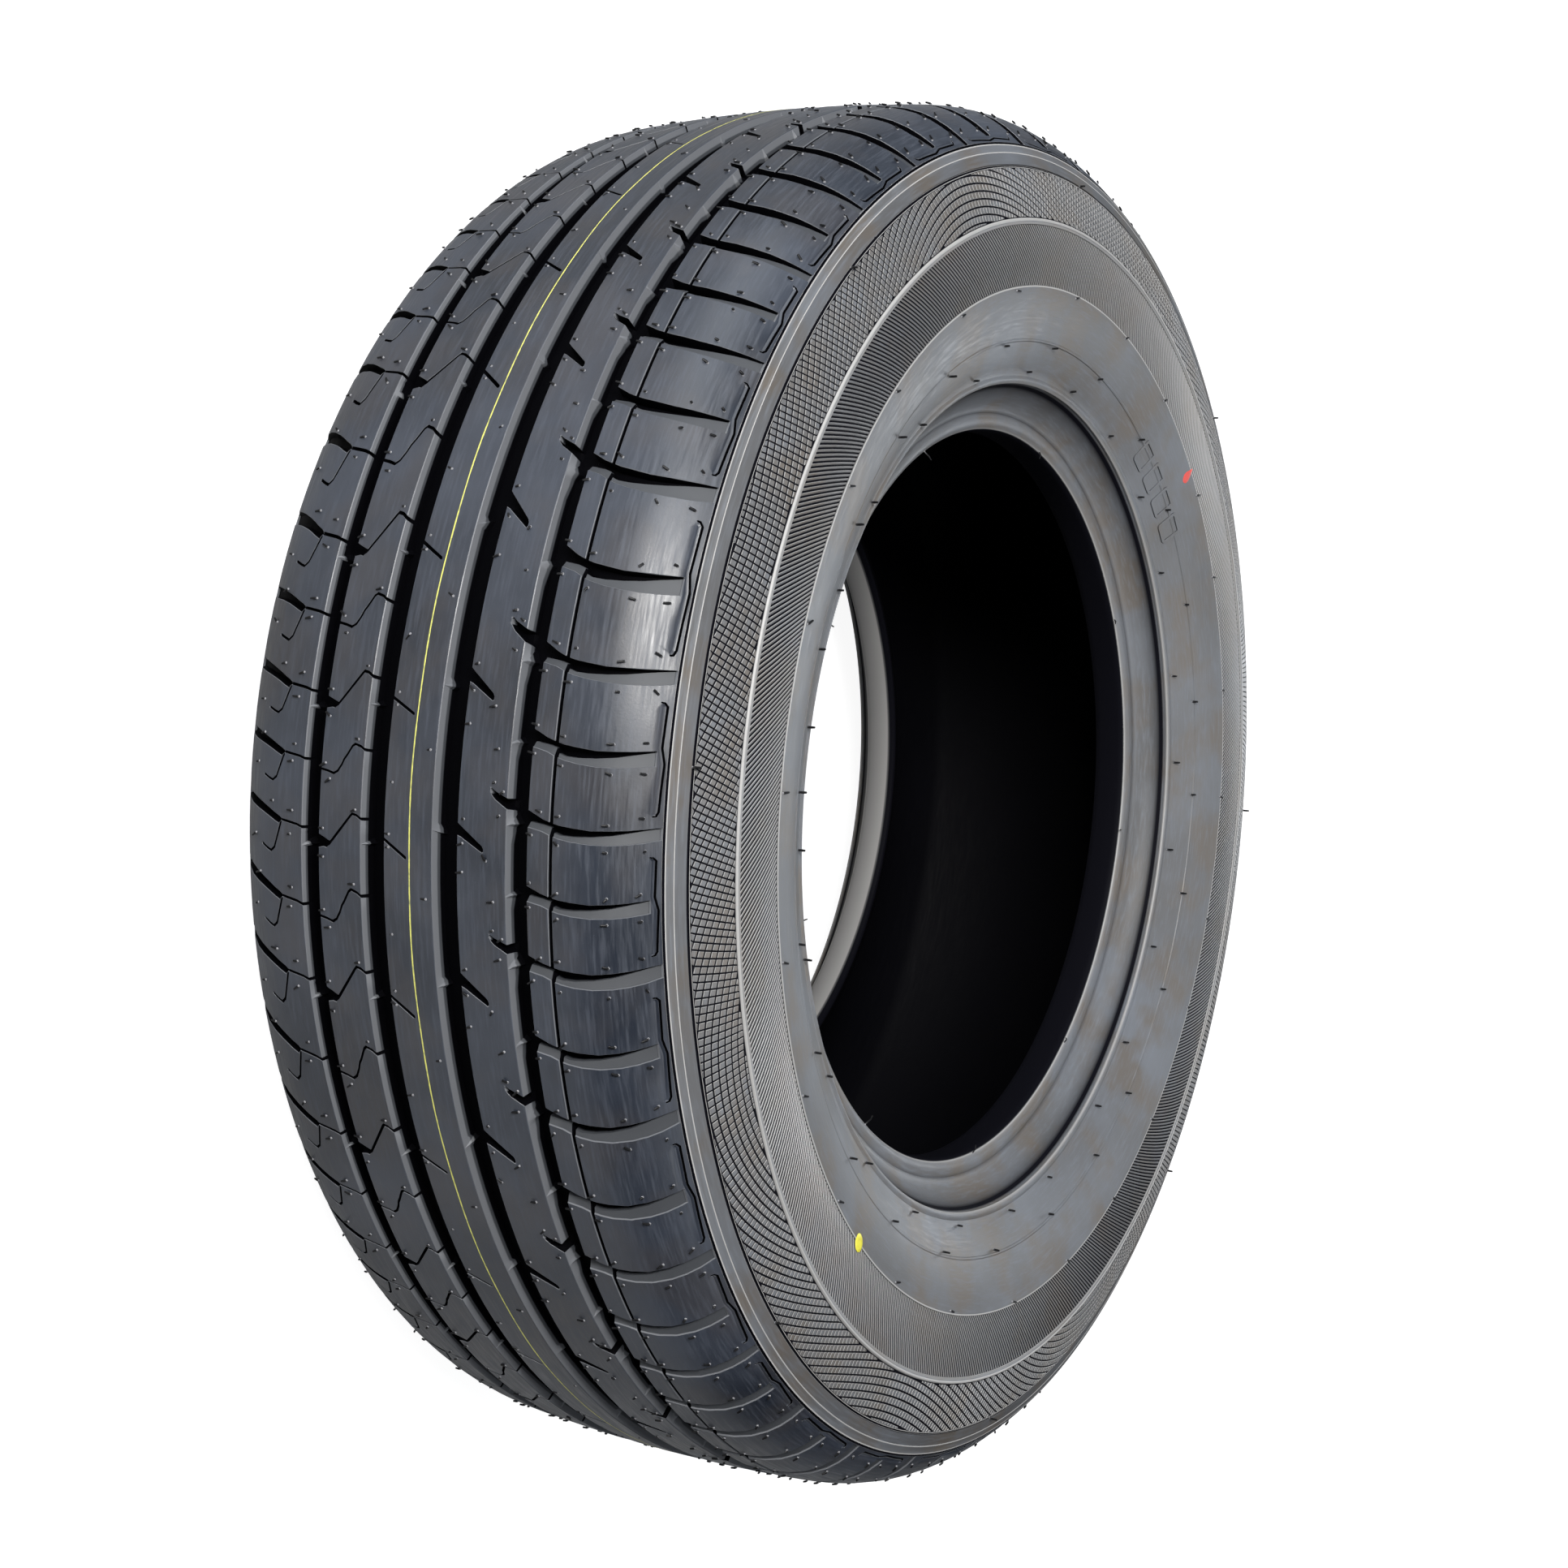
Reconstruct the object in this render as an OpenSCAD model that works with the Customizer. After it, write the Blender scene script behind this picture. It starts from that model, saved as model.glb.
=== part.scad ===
/* [Main sizes] */
// Diameter over the middle of the tread
tyre_d = 763.4; // [740:0.2:800]
// Width of the tread between its two edge lines
tread_w = 237; // [228:0.5:246]
// How far each sidewall stands out past the edge of the tread
side_bulge = 13; // [9:0.5:17]
// Diameter of the bead seats, which is that of the rim
seat_d = 405.6; // [395:0.2:415]
// Distance between the outer faces of the two beads, which is the rim's width
bead_span = 190.5; // [180:0.5:200]

/* [Crown and shoulders] */
// Radius of the crown across the tread
crown_r = 950; // [700:10:1400]
// How far the tread edge lies below the crown's own arc
shoulder_drop = 18; // [14:0.5:22]
// Width of the flatter middle part of the tread
flat_w = 160; // [150:1:170]
// Height of the widest part of the sidewall above the bead seat
wide_rise = 94.8; // [85:0.1:105]

/* [Walls] */
// Radial thickness under the middle of the tread, tread included
crown_t = 15.8; // [14:0.2:18]
// Thickness of the sidewall at its widest point
wall_t = 8.5; // [7:0.1:10]
// Thickness that the wall gains on its way down to the bead
bead_extra_t = 15; // [13:0.5:17]
// Thickness that the wall gains on its way up to the shoulder
shoulder_extra_t = 6; // [4:0.5:8]

/* [Tread grooves] */
// Depth of the four grooves round the tread
groove_depth = 8; // [6:0.1:9]
// Width of the two inner grooves at the tread face
inner_groove_w = 14.6; // [12:0.1:16]
// Distance of the inner grooves from the middle of the tread
inner_groove_y = 20.6; // [19:0.1:22]
// Width of the two outer grooves at the tread face
outer_groove_w = 11.6; // [9:0.1:13]
// Distance of the outer grooves from the middle of the tread
outer_groove_y = 58.8; // [57:0.1:60]
// How much narrower a groove is at its floor than at its mouth
groove_taper = 3; // [1:0.1:4]
// Width of the narrow groove in the outer shoulder
fine_groove_w = 1.8; // [1:0.1:3]
// Depth of the narrow groove in the outer shoulder
fine_groove_depth = 2.6; // [1:0.1:4]
// Distance of the narrow groove from the middle of the tread
fine_groove_y = 76.2; // [73:0.1:78]

/* [Cross grooves] */
// Depth of the cross grooves and notches where they leave the main grooves
cross_depth = 6.6; // [4:0.1:7.5]
// Depth of the cross grooves at the edge of the tread
edge_depth = 1.6; // [0.8:0.1:3]
// Width of a cross groove of the outer shoulder at its narrow end
cross_w = 4.4; // [3:0.1:6]
// Width that a cross groove of the outer shoulder gains on its way out
cross_flare = 2.8; // [1:0.1:4]
// How far the cross grooves of the outer shoulder bow round the tyre
cross_bow = 2.4; // [0:0.1:4]
// How far the cross grooves of the outer shoulder run back at the main groove
cross_lead = 6; // [3:0.1:8]
// How far short of the tread edge every second cross groove ends
short_gap = 3; // [1.5:0.1:5]
// Width of the wedge-shaped grooves of the inner shoulder
wedge_w = 5.5; // [3:0.1:8]
// How far the wedge-shaped grooves lean round the tyre on their way out
wedge_lead = 14; // [6:0.5:18]
// Angle that turns the whole tread pattern
pattern_turn = 37.8; // [0:0.1:60]

/* [Sidewall] */
// Height of the narrow rings that part the bands of the sidewall
ring_h = 0.6; // [0.3:0.1:1]
// Width of the narrow rings that part the bands of the sidewall
ring_w = 1.6; // [1:0.1:3]
// Width of the plain band between the tread edge and the outer textured band
plain_band_w = 13; // [10:0.5:16]
// Width of the outer textured band
outer_band_w = 28.4; // [24:0.2:32]
// Width of the middle textured band
middle_band_w = 34.4; // [28:0.2:38]
// How deep the two textured bands lie
band_depth = 0.5; // [0.2:0.1:1]
// Height of the fine ring above the bead seat
fine_ring_rise = 49; // [44:0.5:52]
// Height of the ridge that guards the rim above the bead seat
guard_rise = 26.2; // [24:0.2:29]
// How far the ridge that guards the rim stands outside the bead's face
guard_out = 15.2; // [12:0.2:18]
// Height of the ridge that guards the rim
guard_h = 1.8; // [1:0.1:3]
// Width of the ridge that guards the rim
guard_w = 3; // [2:0.1:5]

/* [Bead] */
// Width of the level seat of each bead
seat_w = 11; // [8:0.5:14]
// Radius of the rounded heel of each bead
heel_r = 6.5; // [5:0.1:8]
// Width of the sloping toe of each bead
toe_w = 4; // [2:0.5:6]

/* [Hidden] */

crown_top_r = tyre_d / 2;
edge_y = tread_w / 2;
half_w = edge_y + side_bulge + band_depth;
flat_y = flat_w / 2;
seat_r = seat_d / 2;
heel_y = bead_span / 2;

// Fall of the tread face below the middle of the crown, at a distance y from the middle
function crown_fall(y) = let (past = max(0, abs(y) - flat_y) / (edge_y - flat_y))
    y * y / (2 * crown_r) + shoulder_drop * pow(past, 4);
function crown(y) = crown_top_r - crown_fall(y);

edge_r = crown(edge_y);

// The sidewall is drawn at this height from bead seat to tread edge, and stretched to the real one
drawn_side_h = 153.5;
side_scale = (edge_r - seat_r) / drawn_side_h;

// The rings and bands of the sidewall, from the tread edge down to the bead
line_r = edge_r - plain_band_w * side_scale;
band_r = line_r - outer_band_w * side_scale;
band_in_r = band_r - middle_band_w * side_scale;
fine_ring_r = seat_r + fine_ring_rise * side_scale;
guard_r = seat_r + guard_rise * side_scale;
guard_y = heel_y + guard_out;

// The sidewall is two parabolas that meet at its widest point
wide_r = seat_r + wide_rise * side_scale;
function side(r) = r > wide_r
    ? half_w - (half_w - edge_y) * pow((r - wide_r) / (edge_r - wide_r), 2)
    : half_w - (half_w - guard_y) * pow((wide_r - r) / (wide_r - guard_r), 2);

// Thickness of the sidewall, from the shoulder down to the bead
in_shoulder_drop = 14;
in_bead_rise = 12;
in_shoulder_r = edge_r - in_shoulder_drop;
in_bead_r = seat_r + in_bead_rise;
function wall(r) = r > wide_r
    ? wall_t + shoulder_extra_t * pow((r - wide_r) / (in_shoulder_r - wide_r), 2)
    : wall_t + bead_extra_t * pow((wide_r - r) / (wide_r - in_bead_r), 2);

// Points of one groove round the tread, as [distance from the middle, depth]
function groove(y, w, taper, depth) = [
    [y - w / 2, 0],
    [y - w / 2 + taper / 2, depth],
    [y + w / 2 - taper / 2, depth],
    [y + w / 2, 0]
];

// The tread face with its grooves, from the inner shoulder to the outer one
shoulder_steps = 5;
shoulder_gap = 6.9;
first_y = fine_groove_y + fine_groove_w / 2 + shoulder_gap;
shoulder_ys = [for (i = [0 : shoulder_steps])
    first_y + (edge_y - first_y) * sin(90 * i / shoulder_steps)];
outer_side = [for (y = shoulder_ys) [y, 0]];
inner_side = [for (i = [shoulder_steps : -1 : 0]) [-shoulder_ys[i], 0]];
tread_line = concat(
    inner_side,
    groove(-outer_groove_y, outer_groove_w, groove_taper, groove_depth),
    groove(-inner_groove_y, inner_groove_w, groove_taper, groove_depth),
    groove(inner_groove_y, inner_groove_w, groove_taper, groove_depth),
    groove(outer_groove_y, outer_groove_w, groove_taper, groove_depth),
    groove(fine_groove_y, fine_groove_w, fine_groove_w / 3, fine_groove_depth),
    outer_side
);
tread_points = [for (p = tread_line) [crown(p[0]) - p[1], p[0]]];

// Points down one sidewall, as [radius, height above the sidewall's own curve]
function steps(from, to, n, lift) = [for (i = [0 : n]) [from + (to - from) * i / n, lift]];
guard_slope = 0.6;
side_line = concat(
    [[(edge_r + line_r + ring_w) / 2, 0], [line_r + ring_w / 2, 0]],
    [[line_r + ring_w / 4, -ring_h], [line_r - ring_w / 4, -ring_h]],
    steps(line_r - ring_w / 2, band_r + ring_w, 4, -band_depth),
    [[band_r + ring_w / 2, ring_h], [band_r - ring_w / 2, ring_h]],
    steps(band_r - ring_w, band_in_r + ring_w / 4, 5, -band_depth),
    steps(band_in_r - ring_w / 4, fine_ring_r + ring_w / 2, 4, 0),
    [[fine_ring_r + ring_w / 4, ring_h / 2], [fine_ring_r - ring_w / 4, ring_h / 2]],
    steps(fine_ring_r - ring_w / 2, guard_r + guard_w + guard_slope, 3, 0),
    [[guard_r + guard_w, guard_h], [guard_r + guard_slope, guard_h]]
);
side_points = [for (p = side_line) [p[0], side(p[0]) + p[1]]];

// The hollow that takes the rim's flange, then the heel, the seat and the toe
hollow_top = [guard_r - 1.4, guard_y - 2.2];
hollow_foot = [seat_r + heel_r + 2, heel_y];
hollow_steps = 5;
heel_steps = 5;
toe_rise = 1.6;
toe_nose = 2.4;
seat_out_y = heel_y - heel_r;
seat_in_y = seat_out_y - seat_w;
bead_points = concat(
    [for (i = [0 : hollow_steps]) let (t = i / hollow_steps)
        [hollow_top[0] - (hollow_top[0] - hollow_foot[0]) * pow(t, 0.85),
         hollow_foot[1] + (hollow_top[1] - hollow_foot[1]) * pow(1 - t, 2)]],
    [for (i = [0 : heel_steps]) let (a = 90 * i / heel_steps)
        [seat_r + heel_r * (1 - sin(a)), heel_y - heel_r * (1 - cos(a))]],
    [[seat_r, seat_in_y],
     [seat_r + toe_rise, seat_in_y - toe_w],
     [seat_r + toe_rise + toe_nose, seat_in_y - toe_w - toe_nose / 6]]
);

// The inside of the casing, from the bead up to the middle of the crown
in_side_steps = 9;
in_side_points = [for (i = [0 : in_side_steps])
    let (r = in_bead_r + (in_shoulder_r - in_bead_r) * i / in_side_steps)
    [r, side(r) - wall(r)]];
in_edge_y = side(in_shoulder_r) - wall(in_shoulder_r);
in_crown_r = crown_top_r - crown_t;
in_crown_steps = 8;
in_crown_points = [for (i = [1 : in_crown_steps]) let (t = 1 - i / in_crown_steps)
    [in_crown_r - (in_crown_r - in_shoulder_r) * pow(t, 2.6), in_edge_y * t]];

function mirrored(points) = [for (i = [len(points) - 1 : -1 : 0]) [points[i][0], -points[i][1]]];

one_wall = concat(side_points, bead_points, in_side_points, in_crown_points);
section_points = concat(
    mirrored([for (i = [0 : len(one_wall) - 2]) one_wall[i]]),
    tread_points,
    one_wall
);

// Lengths of the double pitches, in units that add up to one turn.
// Four pitch lengths follow one another in an uneven order, which keeps the tyre quiet.
pitch_units = [7, 8, 10, 8, 7, 8, 9, 8, 7, 8, 8, 9, 10, 9, 8, 7, 7,
               8, 9, 8, 7, 8, 10, 9, 8, 7, 8, 8, 9, 8, 7, 7, 7];
function total(list, n) = n == 0 ? 0 : list[n - 1] + total(list, n - 1);
unit_deg = 360 / total(pitch_units, len(pitch_units));
function pitch_start(k) = pattern_turn + unit_deg * total(pitch_units, k);

// Outlines are drawn for a double pitch of this length and stretched to the real one
drawn_pitch = 72.1;
pitch_scale = PI * tyre_d / total(pitch_units, len(pitch_units)) / drawn_pitch;

// Degrees round the tyre for a length along its face
function turn(length) = length / crown_top_r * 180 / PI;

// Where each kind of feature stands after the start of its double pitch, in mm
outer_cross_shift = 50;
slant_shift = 26;
hook_shift = 50;
inner_rib_shift = 3;

// How far on within the double pitch the slanted notch and the stub stand, as a share of it
slant_place = 0.53;
stub_place = 0.04;

// The ring that holds every cross groove: its floor follows the crown
function cross_floor(y) = let (t = max(0, abs(y) - flat_y) / (edge_y - flat_y))
    cross_depth - (cross_depth - edge_depth) * pow(t, 1.6);
floor_steps = 3;
ring_ys = concat(
    [for (i = [floor_steps : -1 : 0]) -flat_y - (edge_y - flat_y) * i / floor_steps],
    [-outer_groove_y, -inner_groove_y, inner_groove_y, outer_groove_y],
    [for (i = [0 : floor_steps]) flat_y + (edge_y - flat_y) * i / floor_steps]
);
past_edge = 3;
last_y = edge_y + past_edge;
ring_low_r = edge_r - edge_depth - 2 * past_edge;
ring_top_r = crown_top_r + past_edge;
ring_points = concat(
    [[ring_low_r, -last_y]],
    [for (y = ring_ys) [crown(y) - cross_floor(y), y]],
    [[ring_low_r, last_y], [ring_top_r, last_y], [ring_top_r, -last_y]]
);

// Left and right edge of a cross groove of the outer shoulder, at t from 0 to 1 along it
function cross_left(t) = -cross_lead * pow(1 - t, 5) + cross_bow * sin(180 * t) - 0.7 * pow(t, 6);
function cross_right(t) = cross_left(t) + cross_w + cross_flare * sin(120 * t)
    + 1.6 * pow(1 - t, 10);
cross_start_y = outer_groove_y + outer_groove_w / 2 - groove_taper;
cross_steps = 4;
function cross_outline(end_y, scale) = concat(
    [for (i = [0 : cross_steps]) let (t = i / cross_steps)
        [cross_left(t) * scale, cross_start_y + (end_y - cross_start_y) * t]],
    [for (i = [cross_steps : -1 : 0]) let (t = i / cross_steps)
        [cross_right(t) * scale, cross_start_y + (end_y - cross_start_y) * t]]
);

// The notch across the groove wall that leads on from each long cross groove
hook_root_y = outer_groove_y - outer_groove_w / 2 + groove_taper / 2;
hook_tip_y = hook_root_y - 11;
function hook_outline(scale) = [
    [-13.5 * scale, hook_tip_y + 0.4],
    [-11.6 * scale, hook_tip_y + 3.4],
    [-8.4 * scale, hook_root_y],
    [-3.2 * scale, hook_root_y],
    [-5.6 * scale, hook_tip_y + 6.6],
    [-8 * scale, hook_tip_y + 2.8],
    [-10.4 * scale, hook_tip_y]
];

// The slanted notch that leaves the inner groove of the same rib
slant_root_y = inner_groove_y + inner_groove_w / 2 - groove_taper / 2;
slant_len = 15.4;
function slant_outline(scale) = [
    [-7.2 * scale, slant_root_y],
    [4.2 * scale, slant_root_y + slant_len],
    [7.2 * scale, slant_root_y + slant_len - 0.8],
    [0.4 * scale, slant_root_y + 3.4],
    [-0.4 * scale, slant_root_y]
];

// The short wide notch in the inner rib
stub_root_y = -outer_groove_y + outer_groove_w / 2 - groove_taper / 2;
stub_len = 9;
function stub_outline(scale) = [
    [-3.6 * scale, stub_root_y],
    [2.6 * scale, stub_root_y],
    [1.8 * scale, stub_root_y + 3.6],
    [4 * scale, stub_root_y + stub_len - 0.8],
    [-0.6 * scale, stub_root_y + stub_len],
    [-2.4 * scale, stub_root_y + 4]
];

// The wedge of the inner shoulder, from its point to the edge of the tread
wedge_start_y = -flat_y + 3;
wedge_end_y = -edge_y + short_gap;
wedge_steps = 3;
function wedge_left(t) = -4 - wedge_lead * pow(t, 0.8);
function wedge_right(t) = wedge_left(t) + 1.2 + wedge_w * sin(120 * t);
function wedge_outline(scale) = concat(
    [for (i = [0 : wedge_steps]) let (t = i / wedge_steps)
        [wedge_left(t) * scale, wedge_start_y + (wedge_end_y - wedge_start_y) * t]],
    [for (i = [wedge_steps : -1 : 0]) let (t = i / wedge_steps)
        [wedge_right(t) * scale, wedge_start_y + (wedge_end_y - wedge_start_y) * t]]
);

// Lays an outline on the tread and sinks it towards the axle
cut_low_r = ring_low_r - past_edge;
module stamp(angle, points) {
    rotate([0, 0, angle])
        translate([cut_low_r, 0, 0])
            rotate([90, 0, 90])
                linear_extrude(height = ring_top_r + past_edge - cut_low_r)
                    polygon(points);
}

module outer_shoulder_cuts() {
    for (k = [0 : len(pitch_units) - 1]) {
        scale = pitch_units[k] * pitch_scale;
        long_at = pitch_start(k) + turn(outer_cross_shift);
        half_pitch = unit_deg * pitch_units[k] / 2;
        stamp(long_at, cross_outline(edge_y + 0.4, scale));
        stamp(long_at + half_pitch, cross_outline(edge_y - short_gap, scale));
    }
}

module inner_shoulder_cuts() {
    for (k = [0 : len(pitch_units) - 1]) {
        scale = pitch_units[k] * pitch_scale;
        stamp(pitch_start(k), wedge_outline(scale));
        stamp(pitch_start(k) + unit_deg * pitch_units[k] / 2, wedge_outline(scale));
    }
}

module rib_cuts() {
    for (k = [0 : len(pitch_units) - 1]) {
        scale = pitch_units[k] * pitch_scale;
        pitch = unit_deg * pitch_units[k];
        stamp(pitch_start(k) + turn(hook_shift), hook_outline(scale));
        stamp(pitch_start(k) + turn(slant_shift) + slant_place * pitch, slant_outline(scale));
        stamp(pitch_start(k) + turn(inner_rib_shift) + stub_place * pitch, stub_outline(scale));
    }
}

// The casing with its grooves, ridges and beads, turned from one section
module casing() {
    rotate_extrude($fn = 180)
        polygon(section_points);
}

module cross_cuts() {
    intersection() {
        rotate_extrude($fn = 180)
            polygon(ring_points);
        union() {
            outer_shoulder_cuts();
            inner_shoulder_cuts();
            rib_cuts();
        }
    }
}

module tyre() {
    color([0.13, 0.13, 0.14])
        difference() {
            casing();
            cross_cuts();
        }
}

tyre();
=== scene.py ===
"""A car tyre for a 16 inch rim: tread, sidewalls, beads and lining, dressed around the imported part.

The tyre lies on its inner sidewall with its spin axis along Z. Lengths are in millimetres until a mesh is made.
"""

import logging
import math
import random
from collections.abc import Sequence
from dataclasses import dataclass, field
from enum import Enum

import bmesh
import bpy
import numpy as np
from mathutils import Matrix, Vector
from mathutils.geometry import delaunay_2d_cdt


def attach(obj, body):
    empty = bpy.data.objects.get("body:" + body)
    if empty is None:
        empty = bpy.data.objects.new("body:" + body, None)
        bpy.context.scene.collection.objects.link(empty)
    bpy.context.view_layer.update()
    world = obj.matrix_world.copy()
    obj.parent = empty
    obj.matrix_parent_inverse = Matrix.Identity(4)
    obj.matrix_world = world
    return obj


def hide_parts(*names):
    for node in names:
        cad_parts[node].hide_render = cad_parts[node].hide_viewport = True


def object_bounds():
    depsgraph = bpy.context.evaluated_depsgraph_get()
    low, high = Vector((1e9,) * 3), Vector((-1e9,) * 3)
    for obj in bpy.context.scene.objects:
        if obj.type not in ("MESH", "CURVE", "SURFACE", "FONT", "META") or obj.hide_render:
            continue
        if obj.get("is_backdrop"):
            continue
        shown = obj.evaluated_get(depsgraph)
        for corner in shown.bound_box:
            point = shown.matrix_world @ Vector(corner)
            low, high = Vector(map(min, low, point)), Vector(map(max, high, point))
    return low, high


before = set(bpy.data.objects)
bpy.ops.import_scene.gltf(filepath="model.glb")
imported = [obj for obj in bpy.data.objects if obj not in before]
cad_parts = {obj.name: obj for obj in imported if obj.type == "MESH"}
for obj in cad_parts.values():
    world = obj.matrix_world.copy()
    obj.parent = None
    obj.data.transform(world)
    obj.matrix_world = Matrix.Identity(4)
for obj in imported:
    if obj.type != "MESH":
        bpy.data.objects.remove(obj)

LOG = logging.getLogger("tyre")
MM = 0.001
NODE = "tyre"
BODY = "root"

# Values of the shade attribute, which paints light and shade into the rubber's colour: the plain face at 0, painted
# light on walls and edges, painted shade that deepens on slopes, in depths and in narrow cuts, and a painted shadow
# below 0
PAINTED_LIGHT = 2.0
PAINTED_HALF_SHADE = 5.6
PAINTED_DEEP_SHADE = 8.0
NARROW_CUT_SHADE = 24.0
SLIT_SHADE = 60.0
SHADOW = -4.0
# The inner bead's seat takes a lighter painted shade than the outer one's
INNER_SEAT_SHADE = 3.8

Colour = tuple[float, float, float]
Point2 = tuple[float, float]
Point3 = tuple[float, float, float]


class Side(Enum):
    """The two sidewalls, by the direction in which they face along the spin axis."""

    OUTER = 1.0
    INNER = -1.0


@dataclass(frozen=True)
class TyreSizes:
    """Driving sizes of the tyre.

    They are those of the part's source, apart from the flat width and the shoulder's power, which round the
    shoulders more. The skin is how far the dressed tread lies inside the solid.
    """

    diameter: float = 763.4
    seat_diameter: float = 405.6
    bead_span: float = 190.5
    tread_width: float = 237.0
    side_bulge: float = 13.0
    crown_radius: float = 950.0
    shoulder_drop: float = 18.0
    flat_width: float = 148.0
    shoulder_power: float = 2.6
    crown_thickness: float = 15.8
    wall_thickness: float = 8.5
    bead_extra: float = 15.0
    shoulder_extra: float = 6.0
    widest_rise: float = 94.8
    plain_band: float = 13.0
    outer_band: float = 28.4
    middle_band: float = 34.4
    band_depth: float = 0.5
    fine_ring_rise: float = 49.0
    guard_rise: float = 26.2
    guard_out: float = 15.2
    guard_height: float = 1.8
    guard_width: float = 3.0
    heel_radius: float = 6.5
    seat_width: float = 11.0
    toe_width: float = 4.0
    toe_rise: float = 4.0
    toe_lip: float = 0.4
    skin: float = 0.7
    inner_corner_drop: float = 14.0
    inner_foot_rise: float = 12.0


@dataclass
class Section:
    """The tyre's section: crown, sidewall and wall thickness, worked out from the driving sizes."""

    sizes: TyreSizes = field(default_factory=TyreSizes)

    def __post_init__(self) -> None:
        """Works out the radii and half widths that the other parts share."""
        s = self.sizes
        self.top_r = s.diameter / 2
        self.seat_r = s.seat_diameter / 2
        self.edge_y = s.tread_width / 2
        self.flat_y = s.flat_width / 2
        self.half_w = self.edge_y + s.side_bulge + s.band_depth
        self.heel_y = s.bead_span / 2
        self.edge_r = float(self.crown(np.array(self.edge_y)))
        self.line_r = self.edge_r - s.plain_band
        self.band_r = self.line_r - s.outer_band
        self.band_in_r = self.band_r - s.middle_band
        self.fine_ring_r = self.seat_r + s.fine_ring_rise
        self.guard_r = self.seat_r + s.guard_rise
        self.guard_y = self.heel_y + s.guard_out
        self.wide_r = self.seat_r + s.widest_rise
        self.in_shoulder_r = self.edge_r - s.inner_corner_drop
        self.in_bead_r = self.seat_r + s.inner_foot_rise

    def toe_end(self) -> Point2:
        """Radius and distance y at which the toe of the outer bead meets the lining."""
        z = self.sizes
        return self.seat_r + z.toe_rise, self.seat_in() - z.toe_width - z.toe_lip

    def seat_in(self) -> float:
        """Distance y at which the outer bead's seat ends."""
        return self.heel_y - self.sizes.heel_radius - self.sizes.seat_width

    def fall(self, y: np.ndarray) -> np.ndarray:
        """How far the tread face lies below the middle of the crown at y."""
        past = np.maximum(0.0, np.abs(y) - self.flat_y) / (self.edge_y - self.flat_y)
        return y * y / (2 * self.sizes.crown_radius) + self.sizes.shoulder_drop * past**self.sizes.shoulder_power

    def slope(self, y: np.ndarray) -> np.ndarray:
        """How steeply the tread face falls at y, positive towards +y."""
        span = self.edge_y - self.flat_y
        past = np.maximum(0.0, np.abs(y) - self.flat_y) / span
        power = self.sizes.shoulder_power
        return y / self.sizes.crown_radius + np.sign(y) * power * self.sizes.shoulder_drop / span * past**(power - 1)

    def crown(self, y: np.ndarray) -> np.ndarray:
        """Radius of the tread face at y."""
        return self.top_r - self.fall(y)

    def side(self, r: np.ndarray) -> np.ndarray:
        """Distance of a sidewall from the middle of the tyre at radius r."""
        up = (r - self.wide_r) / (self.edge_r - self.wide_r)
        down = (self.wide_r - r) / (self.wide_r - self.guard_r)
        high = self.half_w - (self.half_w - self.edge_y) * up**2
        low = self.half_w - (self.half_w - self.guard_y) * down**2
        return np.where(r > self.wide_r, high, low)

    def wall(self, r: np.ndarray) -> np.ndarray:
        """Thickness of the sidewall at radius r."""
        up = (r - self.wide_r) / (self.in_shoulder_r - self.wide_r)
        down = (self.wide_r - r) / (self.wide_r - self.in_bead_r)
        s = self.sizes
        high = s.wall_thickness + s.shoulder_extra * up**2
        low = s.wall_thickness + s.bead_extra * down**2
        return np.where(r > self.wide_r, high, low)

    def side_normal(self, r: np.ndarray) -> np.ndarray:
        """Unit normals of the outer sidewall at the radii r, as pairs (radial, axial)."""
        step = 0.25
        tilt = (self.side(r + step) - self.side(r - step)) / (2 * step)
        normal = np.stack([-tilt, np.ones_like(tilt)], axis=-1)
        return normal / np.linalg.norm(normal, axis=-1, keepdims=True)

    def tread_point(self, y: np.ndarray, depth: np.ndarray) -> np.ndarray:
        """Points (radius, y) that lie at a depth under the tread face, square to it.

        The face lies a skin's thickness inside the solid's, so that hairs and paint keep within its box.
        """
        slope = self.slope(y)
        length = np.sqrt(1 + slope * slope)
        return np.stack([self.crown(y) - self.sizes.skin - depth / length, y - depth * slope / length], axis=-1)

    def side_point(self, r: np.ndarray, height: np.ndarray) -> np.ndarray:
        """Points (radius, y) that stand at a height over the outer sidewall, square to it."""
        base = np.stack([r, self.side(r)], axis=-1)
        return base + self.side_normal(r) * np.asarray(height)[..., None]


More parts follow.
